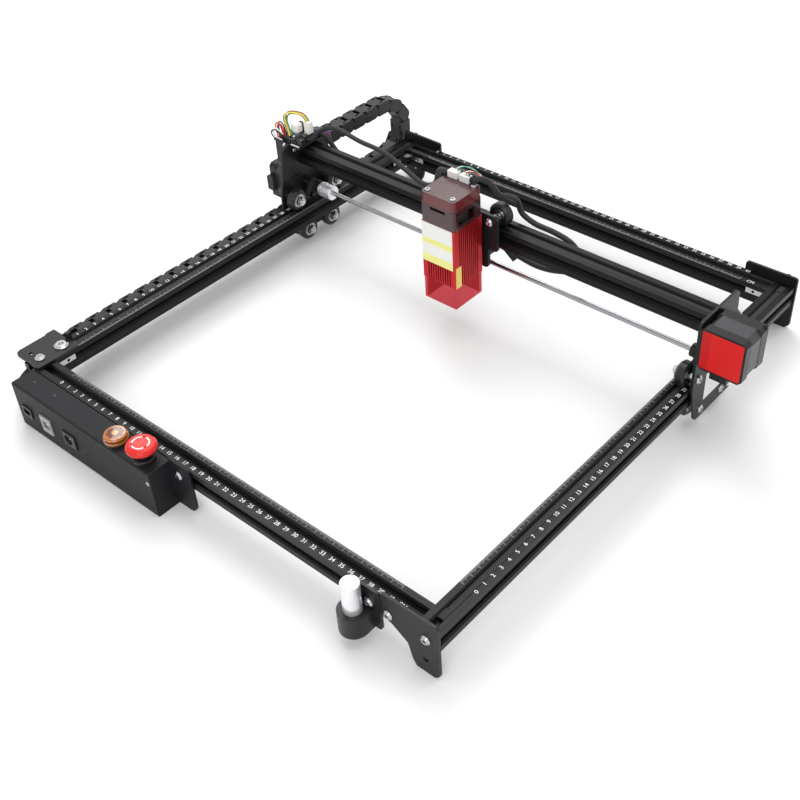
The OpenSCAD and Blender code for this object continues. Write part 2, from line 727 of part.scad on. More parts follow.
function loop_line() =
    let (h = loop_half())
    concat(h, [for (k = [len(h) - 2:-1:0]) [-h[k][0], h[k][1]]]);

function side_of(q, i, d) =
    let (t = unit(q[min(i + 1, len(q) - 1)] - q[max(i - 1, 0)]))
    q[i] + d * [-t[1], t[0]];

module belt_loops() {
    q = loop_line();
    n = len(q) - 1;
    color("#262626") for (s = [-1, 1])
        translate([s * track_x - belt_w / 2, gantry_y, 0]) rotate([90, 0, 90]) linear_extrude(belt_w)
            polygon(concat([for (i = [0:n]) side_of(q, i, belt_t / 2)],
                           [for (i = [n:-1:0]) side_of(q, i, -belt_t / 2)]));
}

// V-wheel on the axis Z with the faces of its bearings set in.
module v_wheel() {
    rotate_extrude() polygon([[2.55, -4.6], [5, -4.6], [5, -4.1], [7.5, -4.1], [7.5, -5.1], [wheel_r - 2.15, -5.1],
                              [wheel_r, -2.95], [wheel_r, 2.95], [wheel_r - 2.15, 5.1], [7.5, 5.1], [7.5, 4.1],
                              [5, 4.1], [5, 4.6], [2.55, 4.6]]);
}

module wheel_pair(dy, z) {
    color("#101010") for (s = [-1, 1]) translate([s * track_x, gantry_y + dy, z]) turn_x() v_wheel();
}

module front_upper_wheels() {
    wheel_pair(-upper_dy, upper_z);
}

module rear_upper_wheels() {
    wheel_pair(upper_dy, upper_z);
}

module front_lower_wheels() {
    wheel_pair(-lower_dy, lower_z);
}

module rear_lower_wheels() {
    wheel_pair(lower_dy, lower_z);
}

// Cables between the adapter board and the laser module

module head_cable() {
    color("#111111") sweep(curve(head_route, 3), 2.5, 8);
}

module slack_cable() {
    color("#111111") sweep(curve(slack_route, 2), 2.8, 8);
}

// Carriage

carriage_y = gantry_y - 19;
carriage_t = 3;
top_axle_z = beam_c + rail_half + axle_h;
under_axle_z = beam_c - rail_half - axle_h;

module carriage_plate() {
    outline = [[-34, beam_c - 10, 3], [-23, beam_c - 10, 2], [-23, beam_c - 32, 4], [23, beam_c - 32, 4],
               [23, beam_c - 10, 2], [34, beam_c - 10, 3], [34, beam_c + 28, 5], [-34, beam_c + 28, 5]];
    color("#1d1d20") translate([head_x, carriage_y + carriage_t, 0]) rotate([90, 0, 0])
        linear_extrude(carriage_t) difference() {
            polygon(rounded(outline));
            for (s = [-1, 1]) translate([24 * s, top_axle_z]) circle(r = 2.6);
            translate([0, under_axle_z]) circle(r = 2.6);
            for (s = [-1, 1]) translate([11 * s, beam_c + 6]) circle(r = 1.6);
        }
}

module carriage_axles() {
    spacer = rail_half - 1.3 + 2.2;
    color("#b9bcc2") {
        for (s = [-1, 1]) translate([head_x + 24 * s, carriage_y, top_axle_z]) turn_y()
            wheel_bolt(4.3, carriage_t, spacer, 4);
        translate([head_x, carriage_y, under_axle_z]) turn_y() wheel_bolt(3.8, carriage_t, spacer, 4);
    }
}

module carriage_wheel(dx, z) {
    color("#101010") translate([head_x + dx, gantry_y, z]) turn_y() v_wheel();
}

module left_top_wheel() {
    carriage_wheel(-24, top_axle_z);
}

module right_top_wheel() {
    carriage_wheel(24, top_axle_z);
}

module under_wheel() {
    carriage_wheel(0, under_axle_z);
}

// Clamp that reaches up to the belt's lower run, with the belt's free end.
module belt_clamp() {
    x0 = head_x + 14;
    y0 = carriage_y + carriage_t;
    color("#232326") {
        translate([x0, y0, beam_c - 18]) cube([9, 19, 7.6]);
        translate([x0, gantry_y - 2.7, beam_c - 10.5]) cube([9, 5.4, 3.1]);
        translate([x0 + 9, gantry_y - 3, beam_c - 12.5]) rotate([0, 38, 0]) cube([22, 6, 1]);
    }
}

// The mount's dovetail rail guides the laser module up and down.
module dovetail(play) {
    polygon([[-4 - play, 0.2], [-4 - play, 0], [-6 - play, -5 - play], [6 + play, -5 - play],
             [4 + play, 0], [4 + play, 0.2]]);
}

module laser_mount() {
    y1 = carriage_y - 4;
    color("#1b1b1d") {
        difference() {
            translate([head_x - 15, y1, beam_c - 20]) cube([30, 4, 46]);
            for (s = [-1, 1]) translate([head_x + 11 * s, y1 - 1, beam_c + 6]) turn_y() {
                cylinder(h = 3, r = 3.2);
                cylinder(h = 8, r = 1.6);
            }
            translate([head_x, y1 - 1, under_axle_z]) turn_y() cylinder(h = 8, r = 4.4);
        }
        translate([head_x, y1, beam_c - 18]) linear_extrude(17.5) dovetail(0);
    }
}

// Laser module

module fin_cut(depth) {
    gap = (head_s - 11) / (fin_gaps * 2);
    for (k = [0:fin_gaps - 1]) translate([-head_s / 2 + 5.5 + gap * (2 * k + 0.5), -1])
        square([gap, depth + 1]);
}

module laser_heatsink() {
    color("#b8262b") translate([head_x, head_yc, fin_z0]) difference() {
        linear_extrude(cap_z0 - fin_z0) difference() {
            square([head_s, head_s], center = true);
            for (a = [0, 90, 270]) rotate(a) translate([0, -head_s / 2]) fin_cut(4.5);
            translate([0, head_s / 2 + 2]) dovetail(0.1);
        }
        translate([0, 0, -1]) cylinder(h = 9, r = 9);
    }
}

// Cap round the top of the module, with a slot in each side for the fan's air.
module laser_cap() {
    color("#3a1518") translate([head_x, head_yc, cap_z0]) difference() {
        linear_extrude(cover_z0 - cap_z0) difference() {
            polygon(rounded([[-head_s / 2, -head_s / 2, 2.5], [head_s / 2, -head_s / 2, 2.5],
                             [head_s / 2, head_s / 2, 2.5], [-head_s / 2, head_s / 2, 2.5]]));
            square(head_s - 5, center = true);
        }
        translate([-9, -head_s / 2 - 1, 15]) cube([18, 5, 3]);
        for (s = [-1, 1]) translate([s * (head_s / 2) - 4, -14, 3]) cube([8, 24, 12]);
        translate([0, head_s / 2 - 2, -1]) linear_extrude(30) dovetail(1);
    }
}

module laser_cover() {
    color("#8a2a30") translate([head_x, head_yc, cover_z0]) {
        difference() {
            linear_extrude(head_z1 - cover_z0) polygon(rounded([
                [-head_s / 2, -head_s / 2, 4], [head_s / 2, -head_s / 2, 4],
                [head_s / 2, head_s / 2, 4], [-head_s / 2, head_s / 2, 4]]));
            translate([-head_s / 2 + 3, -head_s / 2 + 3, -1]) cube([head_s - 6, head_s - 6, 9]);
        }
    }
    color("#c9ccd0") for (p = [[-1, -1], [1, -1], [1, 1]])
        translate([head_x + p[0] * (head_s / 2 - 5), head_yc + p[1] * (head_s / 2 - 5), head_z1])
            screw(2.9, 1.6, 1, 1);
}

// Clear shield below the heatsink, open at the bottom.
module laser_shield() {
    color("#b83c40") translate([head_x, head_yc, top_z - 3]) difference() {
        linear_extrude(fin_z0 - top_z + 3) square(head_s - 1, center = true);
        translate([0, 0, -1]) linear_extrude(30) square(head_s - 5, center = true);
    }
}

// Fan board under the cover, with the white plugs that stand out at the rear.
module laser_board() {
    color("#2c5c3a") translate([head_x - head_s / 2 + 4, head_yc - 12, cover_z0 + 1]) cube([head_s - 8, 24, 1.6]);
    color("#efefe8") {
        translate([head_x - 16, head_y1 - 5.5, head_z1]) cube([11, 6.5, 6.4]);
        translate([head_x - 2, head_y1 - 5.5, head_z1]) cube([11, 6.5, 6.4]);
    }
}

place() front_rail();
place() rear_rail();
place() left_rail();
place() right_rail();
place() front_right_foot_plate();
place() rear_right_foot_plate();
place() rear_left_foot_plate();
place() front_left_corner_plate();
place() corner_brackets();
place() frame_screws();
place() rear_bumpers();
place() y_belts();
place() control_box();
place() ports();
place() button_collars();
place() gauge_holder();
place() chain_lower_run();
place() chain_lower_end();
place() box_cable();
place() amber_button();
place() stop_stem();
place() stop_cap();
place() focus_gauge();
place() chain_bend();
place() gantry_beam();
place() left_end_plate();
place() right_end_plate();
place() x_motor();
place() y_motor();
place() x_belt();
place() idler_housing();
place() adapter_board();
place() gantry_bolts();
place() chain_upper_root();
place() chain_upper_run();
place() belt_loops();
place() head_cable();
place() slack_cable();
place() drive_shaft();
place() shaft_coupling();
place() y_pulleys();
place() x_drive_pulley();
place() x_idler_pulley();
place() front_upper_wheels();
place() rear_upper_wheels();
place() front_lower_wheels();
place() rear_lower_wheels();
place() carriage_plate();
place() carriage_axles();
place() belt_clamp();
place() laser_mount();
place() left_top_wheel();
place() right_top_wheel();
place() under_wheel();
place() laser_heatsink();
place() laser_cap();
place() laser_cover();
place() laser_shield();
place() laser_board();
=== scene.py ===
"""Looks of a desktop laser cutter: finishes, printed rulers, cables, wires, trim and a plain studio."""

import json
import logging
import math
from dataclasses import dataclass
from enum import Enum
from typing import Iterator, Sequence

import bmesh
import bpy
from mathutils import Matrix, Vector
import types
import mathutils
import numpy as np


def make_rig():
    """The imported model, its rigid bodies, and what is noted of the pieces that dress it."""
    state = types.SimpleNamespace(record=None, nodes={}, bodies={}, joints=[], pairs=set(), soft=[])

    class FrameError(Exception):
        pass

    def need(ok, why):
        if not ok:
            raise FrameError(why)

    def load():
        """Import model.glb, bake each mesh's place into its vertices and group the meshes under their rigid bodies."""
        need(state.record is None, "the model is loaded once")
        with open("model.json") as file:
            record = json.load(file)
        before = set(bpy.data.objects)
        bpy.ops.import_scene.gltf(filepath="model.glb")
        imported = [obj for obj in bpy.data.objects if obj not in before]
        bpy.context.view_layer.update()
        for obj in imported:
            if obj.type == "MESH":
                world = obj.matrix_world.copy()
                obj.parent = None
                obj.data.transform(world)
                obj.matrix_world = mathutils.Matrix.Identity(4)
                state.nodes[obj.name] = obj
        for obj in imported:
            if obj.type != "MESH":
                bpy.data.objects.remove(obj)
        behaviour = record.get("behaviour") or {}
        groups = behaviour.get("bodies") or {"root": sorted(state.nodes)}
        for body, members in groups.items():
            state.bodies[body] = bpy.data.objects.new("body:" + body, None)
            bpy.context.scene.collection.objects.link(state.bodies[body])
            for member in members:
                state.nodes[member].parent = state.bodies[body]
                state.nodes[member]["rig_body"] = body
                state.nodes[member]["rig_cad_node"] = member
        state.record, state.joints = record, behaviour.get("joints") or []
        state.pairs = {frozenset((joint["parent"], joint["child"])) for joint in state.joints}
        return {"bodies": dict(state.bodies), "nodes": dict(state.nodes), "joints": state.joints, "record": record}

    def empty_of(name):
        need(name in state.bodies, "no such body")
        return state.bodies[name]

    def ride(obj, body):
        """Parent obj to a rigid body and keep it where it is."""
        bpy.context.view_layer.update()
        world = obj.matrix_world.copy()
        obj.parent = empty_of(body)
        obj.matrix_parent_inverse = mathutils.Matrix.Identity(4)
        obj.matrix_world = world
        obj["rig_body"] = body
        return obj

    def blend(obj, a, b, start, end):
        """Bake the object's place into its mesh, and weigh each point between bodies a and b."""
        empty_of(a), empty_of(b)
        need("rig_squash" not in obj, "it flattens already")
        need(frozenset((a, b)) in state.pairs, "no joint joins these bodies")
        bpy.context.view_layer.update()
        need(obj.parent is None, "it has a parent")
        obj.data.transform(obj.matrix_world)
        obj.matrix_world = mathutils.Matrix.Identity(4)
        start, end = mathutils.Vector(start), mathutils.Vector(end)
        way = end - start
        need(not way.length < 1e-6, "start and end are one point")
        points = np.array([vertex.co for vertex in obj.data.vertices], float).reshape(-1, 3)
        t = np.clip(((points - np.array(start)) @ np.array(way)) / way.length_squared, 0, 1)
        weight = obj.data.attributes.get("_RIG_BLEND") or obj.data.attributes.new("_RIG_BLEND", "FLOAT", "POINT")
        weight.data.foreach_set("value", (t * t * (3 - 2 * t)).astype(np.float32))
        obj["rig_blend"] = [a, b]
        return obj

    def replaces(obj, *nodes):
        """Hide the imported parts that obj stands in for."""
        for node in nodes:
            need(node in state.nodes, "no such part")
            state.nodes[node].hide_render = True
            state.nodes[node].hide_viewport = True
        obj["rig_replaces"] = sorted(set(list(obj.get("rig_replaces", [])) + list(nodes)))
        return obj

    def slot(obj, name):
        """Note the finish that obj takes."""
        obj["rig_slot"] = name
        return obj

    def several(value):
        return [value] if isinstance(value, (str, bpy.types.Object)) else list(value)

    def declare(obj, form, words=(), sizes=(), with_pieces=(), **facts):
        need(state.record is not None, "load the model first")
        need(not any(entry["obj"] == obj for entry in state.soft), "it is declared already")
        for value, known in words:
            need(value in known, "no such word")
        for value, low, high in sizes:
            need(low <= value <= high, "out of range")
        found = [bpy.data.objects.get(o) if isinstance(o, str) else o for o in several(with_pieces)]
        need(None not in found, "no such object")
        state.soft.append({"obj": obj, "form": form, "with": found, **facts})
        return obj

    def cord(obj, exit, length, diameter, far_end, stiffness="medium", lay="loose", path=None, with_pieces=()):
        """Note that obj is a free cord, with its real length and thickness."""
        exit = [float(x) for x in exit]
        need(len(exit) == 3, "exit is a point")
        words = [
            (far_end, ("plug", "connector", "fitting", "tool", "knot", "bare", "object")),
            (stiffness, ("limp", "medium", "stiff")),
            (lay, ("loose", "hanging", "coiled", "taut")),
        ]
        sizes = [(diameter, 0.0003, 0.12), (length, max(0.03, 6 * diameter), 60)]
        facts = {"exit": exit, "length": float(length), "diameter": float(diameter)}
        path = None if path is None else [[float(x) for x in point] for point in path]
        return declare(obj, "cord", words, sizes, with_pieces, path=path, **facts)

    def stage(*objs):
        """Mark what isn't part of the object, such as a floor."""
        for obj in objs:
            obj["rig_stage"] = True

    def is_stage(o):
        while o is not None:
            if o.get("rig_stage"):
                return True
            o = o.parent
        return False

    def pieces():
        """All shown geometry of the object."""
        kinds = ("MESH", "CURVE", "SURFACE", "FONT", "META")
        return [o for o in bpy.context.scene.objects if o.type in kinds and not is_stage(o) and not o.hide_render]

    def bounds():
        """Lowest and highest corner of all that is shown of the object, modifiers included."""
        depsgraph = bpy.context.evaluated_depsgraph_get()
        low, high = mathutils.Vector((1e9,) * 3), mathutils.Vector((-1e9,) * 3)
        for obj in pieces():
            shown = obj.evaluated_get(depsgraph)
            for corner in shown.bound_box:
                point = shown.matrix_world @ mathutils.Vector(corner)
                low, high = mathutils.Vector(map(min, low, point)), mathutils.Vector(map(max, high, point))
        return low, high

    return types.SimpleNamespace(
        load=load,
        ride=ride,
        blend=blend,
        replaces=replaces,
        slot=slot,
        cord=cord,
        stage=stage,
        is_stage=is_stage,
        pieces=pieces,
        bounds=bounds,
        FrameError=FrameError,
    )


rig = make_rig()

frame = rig.load()
LOG = logging.getLogger("laser_cutter")
MM = 0.001
FRAME_SHIFT = Vector((-5.325, 6.5075, 0.0))

Point = tuple[float, float, float]
Colour = tuple[float, float, float]

# Place at the laser module's plug where its leads and sleeve start to bend, in the part's millimetres.
PLUG_END: Point = (4.0, 80.7, 169.0)
BEND_END: Point = (21.9, 104.2, 147.3)
LEAD_STEPS = 7
LEAD_SIDES = 6
SLEEVE_SIDES = 12


def at(x: float, y: float, z: float) -> Vector:
    """Returns the row-frame point, in metres, of a point given in the part's millimetres."""
    return (Vector((x, y, z)) + FRAME_SHIFT) * MM


def smooth_curve(route: Sequence[Point], steps: int) -> list[Vector]:
    """Rounds a route with a Catmull-Rom curve.

    Args:
        route: Points in the part's millimetres.
        steps: Points made between two of them.

    Returns:
        Points of the curve in metres, in the row frame.
    """
    p = [at(*q) for q in route]
    out: list[Vector] = []
    for i in range(len(p) - 1):
        a, b, c, d = p[max(i - 1, 0)], p[i], p[i + 1], p[min(i + 2, len(p) - 1)]
        for k in range(steps):
            t = k / steps
            out.append(b + 0.5 * t * ((c - a) + t * (2 * a - 5 * b + 4 * c - d + t * (3 * (b - c) + d - a))))
    out.append(p[-1])
    return out


def path_length(points: Sequence[Vector]) -> float:
    """Returns the length of a polyline."""
    return sum((b - a).length for a, b in zip(points, points[1:]))


# Finishes

PATCH_SCALE = 28.0
COAT_ROUGHNESS = 0.12
GLOSS_SPREAD = 0.35
# Gains of the edge mask that lightens edges: partly edge wear, partly a painted highlight along the edges.
EDGE_GAIN = 3.0
EDGE_WEAR_AND_HIGHLIGHT_GAIN = 1.6


class Tree:
    """Short calls to add and join the nodes of a shader or geometry tree."""

    def __init__(self, tree: bpy.types.NodeTree) -> None:
        """Keeps the tree.

        Args:
            tree: The tree that nodes are added to.
        """
        self.tree = tree

    def add(self, kind: str, values: dict[str, object] | None = None, **settings: object) -> bpy.types.Node:
        """Adds a node.

        Args:
            kind: The node's type name.
            values: Default values by socket name, or by "#" and an index.
            settings: Properties of the node.

        Returns:
            The new node.
        """
        node = self.tree.nodes.new(kind)
        for key, value in settings.items():
            setattr(node, key, value)
        for key, value in (values or {}).items():
            socket = node.inputs[int(key[1:])] if key.startswith("#") else node.inputs[key]
            socket.default_value = value
        return node

    def join(self, out: bpy.types.NodeSocket, into: bpy.types.NodeSocket) -> None:
        """Links an output to an input."""
        self.tree.links.new(out, into)

    def maths(self, operation: str, a: object, b: object = None, clamp: bool = False) -> bpy.types.NodeSocket:
        """Adds a maths node.

        Args:
            operation: Its operation.
            a: First socket or number.
            b: Second socket or number.
            clamp: Whether the result is kept from 0 to 1.

        Returns:
            The node's output.
        """
        node = self.add("ShaderNodeMath", operation=operation, use_clamp=clamp)
        for k, value in enumerate((a, b)):
            if isinstance(value, bpy.types.NodeSocket):
                self.join(value, node.inputs[k])
            elif value is not None:
                node.inputs[k].default_value = value
        return node.outputs[0]

    def mix(self, factor: object, a: object, b: object) -> bpy.types.NodeSocket:
        """Adds a colour mix.

        Args:
            factor: Socket or number.
            a: Colour at 0, as a socket or three numbers.
            b: Colour at 1, as a socket or three numbers.

        Returns:
            The mixed colour.
        """
        node = self.add("ShaderNodeMix", data_type="RGBA")
        for socket, value in ((node.inputs[0], factor), (node.inputs[6], a), (node.inputs[7], b)):
            if isinstance(value, bpy.types.NodeSocket):
                self.join(value, socket)
            else:
                socket.default_value = (*value, 1.0) if isinstance(value, tuple) else value
        return node.outputs[2]


def grain_group() -> bpy.types.NodeTree:
    """Makes or finds the group that gives every finish its fine grain and its wide, faint patches.

    Returns:
        The shader node group.
    """
    name = "grain_and_patches"
    if name in bpy.data.node_groups:
        return bpy.data.node_groups[name]
    group = bpy.data.node_groups.new(name, "ShaderNodeTree")
    face = group.interface
    face.new_socket("Vector", in_out="INPUT", socket_type="NodeSocketVector")
    face.new_socket("Grain Scale", in_out="INPUT", socket_type="NodeSocketFloat")
    face.new_socket("Patch Scale", in_out="INPUT", socket_type="NodeSocketFloat")
    face.new_socket("Grain", in_out="OUTPUT", socket_type="NodeSocketFloat")
    face.new_socket("Patches", in_out="OUTPUT", socket_type="NodeSocketFloat")
    t = Tree(group)
    start, end = t.add("NodeGroupInput"), t.add("NodeGroupOutput")
    for source, target, detail in (("Grain Scale", "Grain", 4.0), ("Patch Scale", "Patches", 2.0)):
        noise = t.add("ShaderNodeTexNoise", {"Detail": detail, "Roughness": 0.6})
        t.join(start.outputs["Vector"], noise.inputs["Vector"])
        t.join(start.outputs[source], noise.inputs["Scale"])
        t.join(noise.outputs["Fac"], end.inputs[target])
    return group


class Axis(Enum):
    """Axes by their place in a vector."""

    X = 0
    Y = 1
    Z = 2


@dataclass(frozen=True)
class Surface:
    """What a finish paints on: the material's tree, its texture coordinates and its fine grain."""

    t: Tree
    coord: bpy.types.Node
    grain: bpy.types.NodeSocket

    def component(self, axis: Axis) -> bpy.types.NodeSocket:
        """Returns one coordinate of the object's own space.

        Args:
            axis: Which coordinate.

        Returns:
            The coordinate in metres.
        """
        split = self.t.add("ShaderNodeSeparateXYZ")
        self.t.join(self.coord.outputs["Object"], split.inputs[0])
        return split.outputs[axis.value]

    def between(self, value: bpy.types.NodeSocket, low: float, high: float) -> bpy.types.NodeSocket:
        """Returns 1 where a value lies between two numbers, and 0 elsewhere.

        Args:
            value: The value.
            low: The lower number.
            high: The upper number.

        Returns:
            The mask.
        """
        above = self.t.maths("GREATER_THAN", value, low)
        below = self.t.maths("LESS_THAN", value, high)
        return self.t.maths("MULTIPLY", above, below)


@dataclass(frozen=True)
class Finish:
    """A finish of one kind of surface: colours, gloss, grain, and its edges lightened for wear and as a painted
    highlight.

    Sizes are in metres, and the grain's scale is in noise cells a metre.
    """

    name: str
    base: Colour
    lighter: Colour
    roughness: float = 0.45
    metallic: float = 0.0
    grain: float = 900.0
    stretch: Point = (1.0, 1.0, 1.0)
    bump: float = 0.12
    depth: float = 0.0002
    # How far the edges are lightened, and to what colour: edge wear and a painted edge highlight.
    wear: float = 0.5
    worn: Colour = (0.3, 0.3, 0.31)
    rounding: float = 0.0004
    coat: float = 0.0
    transmission: float = 0.0
    ior: float = 1.5
    specular: float = 0.5

    def material(self) -> bpy.types.Material:
        """Makes the finish's node tree at the first call: colour, grain, edges lightened for wear and as a painted
        highlight, gloss and bump.

        Returns:
            The finish's material, the same one at every call.
        """
        if self.name in bpy.data.materials:
            return bpy.data.materials[self.name]
        mat = bpy.data.materials.new(self.name)
        mat.use_nodes = True
        t = Tree(mat.node_tree)
        mat.node_tree.nodes.clear()
        out = t.add("ShaderNodeOutputMaterial")
        shader = t.add("ShaderNodeBsdfPrincipled", {"Metallic": self.metallic, "Coat Weight": self.coat,
                                                    "Coat Roughness": COAT_ROUGHNESS, "IOR": self.ior,
                                                    "Transmission Weight": self.transmission,
                                                    "Specular IOR Level": self.specular})
        t.join(shader.outputs[0], out.inputs[0])
        coord = t.add("ShaderNodeTexCoord")
        mapping = t.add("ShaderNodeMapping", {"Scale": self.stretch})
        t.join(coord.outputs["Object"], mapping.inputs["Vector"])
        group = t.add("ShaderNodeGroup", node_tree=grain_group())
        group.inputs["Grain Scale"].default_value = self.grain
        group.inputs["Patch Scale"].default_value = PATCH_SCALE
        t.join(mapping.outputs[0], group.inputs["Vector"])
        grain, patches = group.outputs["Grain"], group.outputs["Patches"]
        bevel = t.add("ShaderNodeBevel", {"Radius": self.rounding}, samples=4)
        surface = Surface(t, coord, grain)
        colour = self.paint(surface, t.mix(patches, self.base, self.lighter))
        # Lightens the edges: partly edge wear, partly a painted highlight along them.
        if self.wear > 0:
            geometry = t.add("ShaderNodeNewGeometry")
            dot = t.add("ShaderNodeVectorMath", operation="DOT_PRODUCT")
            t.join(bevel.outputs[0], dot.inputs[0])
            t.join(geometry.outputs["Normal"], dot.inputs[1])
            edge = t.maths("MULTIPLY", t.maths("SUBTRACT", 1.0, dot.outputs["Value"]), EDGE_GAIN, clamp=True)
            edge = t.maths("MULTIPLY", t.maths("MULTIPLY", edge, grain), self.wear * EDGE_WEAR_AND_HIGHLIGHT_GAIN, clamp=True)
            colour = t.mix(edge, colour, self.worn)
        t.join(colour, shader.inputs["Base Color"])
        spread = t.maths("MULTIPLY", t.maths("SUBTRACT", grain, 0.5), GLOSS_SPREAD)
        t.join(t.maths("ADD", spread, self.roughness, clamp=True), shader.inputs["Roughness"])
        bump = t.add("ShaderNodeBump", {"Strength": self.bump, "Distance": self.depth})
        t.join(self.height(surface), bump.inputs["Height"])
        t.join(bevel.outputs[0], bump.inputs["Normal"])
        t.join(bump.outputs[0], shader.inputs["Normal"])
        return mat

    def paint(self, on: Surface, colour: bpy.types.NodeSocket) -> bpy.types.NodeSocket:
        """Returns the colour to use, which finishes with marks of their own change."""
        return colour

    def height(self, on: Surface) -> bpy.types.NodeSocket:
        """Returns the height that feeds the bump."""
        return on.grain


@dataclass(frozen=True)
class LinedFinish(Finish):
    """A finish with fine parallel lines across one axis: turned metal, belt teeth or stacked sheets."""

    axis: Axis = Axis.X
    pitch: float = 0.0006
    line: Colour = (0.02, 0.02, 0.02)
    line_share: float = 0.3

    def wave(self, on: Surface) -> bpy.types.NodeSocket:
        """Returns a wave from 0 to 1 along the axis."""
        turn = on.t.maths("MULTIPLY", on.component(self.axis), 2 * math.pi / self.pitch)
        return on.t.maths("ADD", on.t.maths("MULTIPLY", on.t.maths("SINE", turn), 0.5), 0.5)

    def paint(self, on: Surface, colour: bpy.types.NodeSocket) -> bpy.types.NodeSocket:
        """Returns the colour with darker lines."""
        return on.t.mix(on.t.maths("MULTIPLY", self.wave(on), self.line_share), colour, self.line)

    def height(self, on: Surface) -> bpy.types.NodeSocket:
        """Returns the grain's height with the lines added."""
        return on.t.maths("ADD", self.wave(on), on.t.maths("MULTIPLY", on.grain, 0.4))


@dataclass(frozen=True)
class BandFinish(Finish):
    """A finish with bands of a second colour across one axis."""

    axis: Axis = Axis.Z
    bands: tuple[tuple[float, float], ...] = ()
    band: Colour = (0.8, 0.8, 0.3)
    band_lines: float = 0.0
    band_shade: float = 0.35

    def paint(self, on: Surface, colour: bpy.types.NodeSocket) -> bpy.types.NodeSocket:
        """Paints the bands.

        Args:
            on: The surface.
            colour: The colour so far.

        Returns:
            The colour with bands.
        """
        t, value = on.t, on.component(self.axis)
        inside: bpy.types.NodeSocket | Colour = self.band
        if self.band_lines > 0:
            turn = t.maths("MULTIPLY", value, 2 * math.pi / self.band_lines)
            share = t.maths("MULTIPLY", t.maths("ADD", t.maths("SINE", turn), 1.0), self.band_shade)
            inside = t.mix(share, self.band, tuple(self.band_shade * c for c in self.band))
        for low, high in self.bands:
            colour = t.mix(on.between(value, low, high), colour, inside)
        return colour


@dataclass(frozen=True)
class BoardFinish(BandFinish):
    """Circuit board: solder mask with faint copper tracks and bright pads, and its connectors as bands."""

    track_gain: float = 2.4
    pad: Colour = (0.62, 0.6, 0.5)
    pad_reach: float = 0.17

    def paint(self, on: Surface, colour: bpy.types.NodeSocket) -> bpy.types.NodeSocket:
        """Adds the tracks and the pads.

        Args:
            on: The surface.
            colour: The colour so far.

        Returns:
            The colour with tracks and pads.
        """
        t, place = on.t, on.coord.outputs["Object"]
        tracks = t.add("ShaderNodeTexBrick", {"Scale": 130.0, "Mortar Size": 0.035, "Bias": -0.4,
                                              "Brick Width": 1.7, "Row Height": 0.4})
        t.join(place, tracks.inputs["Vector"])
        copper = tuple(self.track_gain * c for c in self.lighter)
        colour = t.mix(t.maths("MULTIPLY", tracks.outputs["Fac"], 0.5), colour, copper)
        pads = t.add("ShaderNodeTexVoronoi", {"Scale": 300.0, "Randomness": 0.35})
        t.join(place, pads.inputs["Vector"])
        dots = t.maths("LESS_THAN", pads.outputs["Distance"], self.pad_reach)
        colour = t.mix(t.maths("MULTIPLY", dots, 0.7), colour, self.pad)
        return super().paint(on, colour)


@dataclass(frozen=True)
class BraidFinish(Finish):
    """Braided or ribbed sleeve, drawn from the tube's own coordinates: round it and along it."""

    strands: float = 12.0
    pitch: float = 0.004

    def weave(self, on: Surface) -> bpy.types.NodeSocket:
        """Returns the height of two sets of strands that wind opposite ways.

        Args:
            on: The surface.

        Returns:
            The height from 0 to 1.
        """
        t = on.t
        split = t.add("ShaderNodeSeparateXYZ")
        t.join(on.coord.outputs["UV"], split.inputs[0])
        round_it = t.maths("MULTIPLY", split.outputs[0], 2 * math.pi * self.strands)
        along = t.maths("MULTIPLY", split.outputs[1], 2 * math.pi / self.pitch)
        one = t.maths("SINE", t.maths("ADD", round_it, along))
        other = t.maths("SINE", t.maths("SUBTRACT", round_it, along))
        return t.maths("ADD", t.maths("MULTIPLY", t.maths("MULTIPLY", one, other), 0.5), 0.5)

    def paint(self, on: Surface, colour: bpy.types.NodeSocket) -> bpy.types.NodeSocket:
        """Returns the colour with the strands' crowns painted lighter: a painted highlight that follows the weave's
        height.
        """
        return on.t.mix(on.t.maths("MULTIPLY", self.weave(on), 0.5), colour, self.lighter)

    def height(self, on: Surface) -> bpy.types.NodeSocket:
        """Returns the strands' height."""
        return self.weave(on)


@dataclass(frozen=True)
class LensFinish(Finish):
    """Clear coloured plastic over a lamp, with light painted in: a painted glow in the middle, a painted shade ring
    round it, and the plastic's own colour at the rim.
    """

    centre: tuple[float, float] = (-0.101875, -0.274293)
    core: Colour = (1.0, 0.50, 0.14)
    deep: Colour = (0.20, 0.040, 0.004)
    core_radius: float = 0.0032
    deep_radius: float = 0.0078
    rays: float = 8.0
    ray_depth: float = 0.0004

    def paint(self, on: Surface, colour: bpy.types.NodeSocket) -> bpy.types.NodeSocket:
        """Paints the lamp's glow in the middle and a shade ring round it, by distance from the lens's axis.

        Args:
            on: The surface.
            colour: The colour so far.

        Returns:
            The colour of the lens.
        """
        t = on.t
        across = [t.maths("SUBTRACT", on.component(axis), middle)
                  for axis, middle in zip((Axis.X, Axis.Y), self.centre)]
        squares = [t.maths("MULTIPLY", value, value) for value in across]
        distance = t.maths("SQRT", t.maths("ADD", *squares))
        turn = t.maths("MULTIPLY", t.maths("ARCTAN2", *across), self.rays)
        rays = t.maths("MULTIPLY", t.maths("ADD", t.maths("SINE", turn), 1.0), self.ray_depth)
        reach = t.maths("ADD", distance, rays)
        # Painted shade ring round the middle, then the painted glow of the lamp at the centre.
        colour = t.mix(on.between(reach, 0.0, self.deep_radius), colour, self.deep)
        return t.mix(on.between(reach, 0.0, self.core_radius), colour, self.core)


BLACK = (0.0055, 0.0055, 0.0065)
SOFT_BLACK = (0.0105, 0.0105, 0.012)
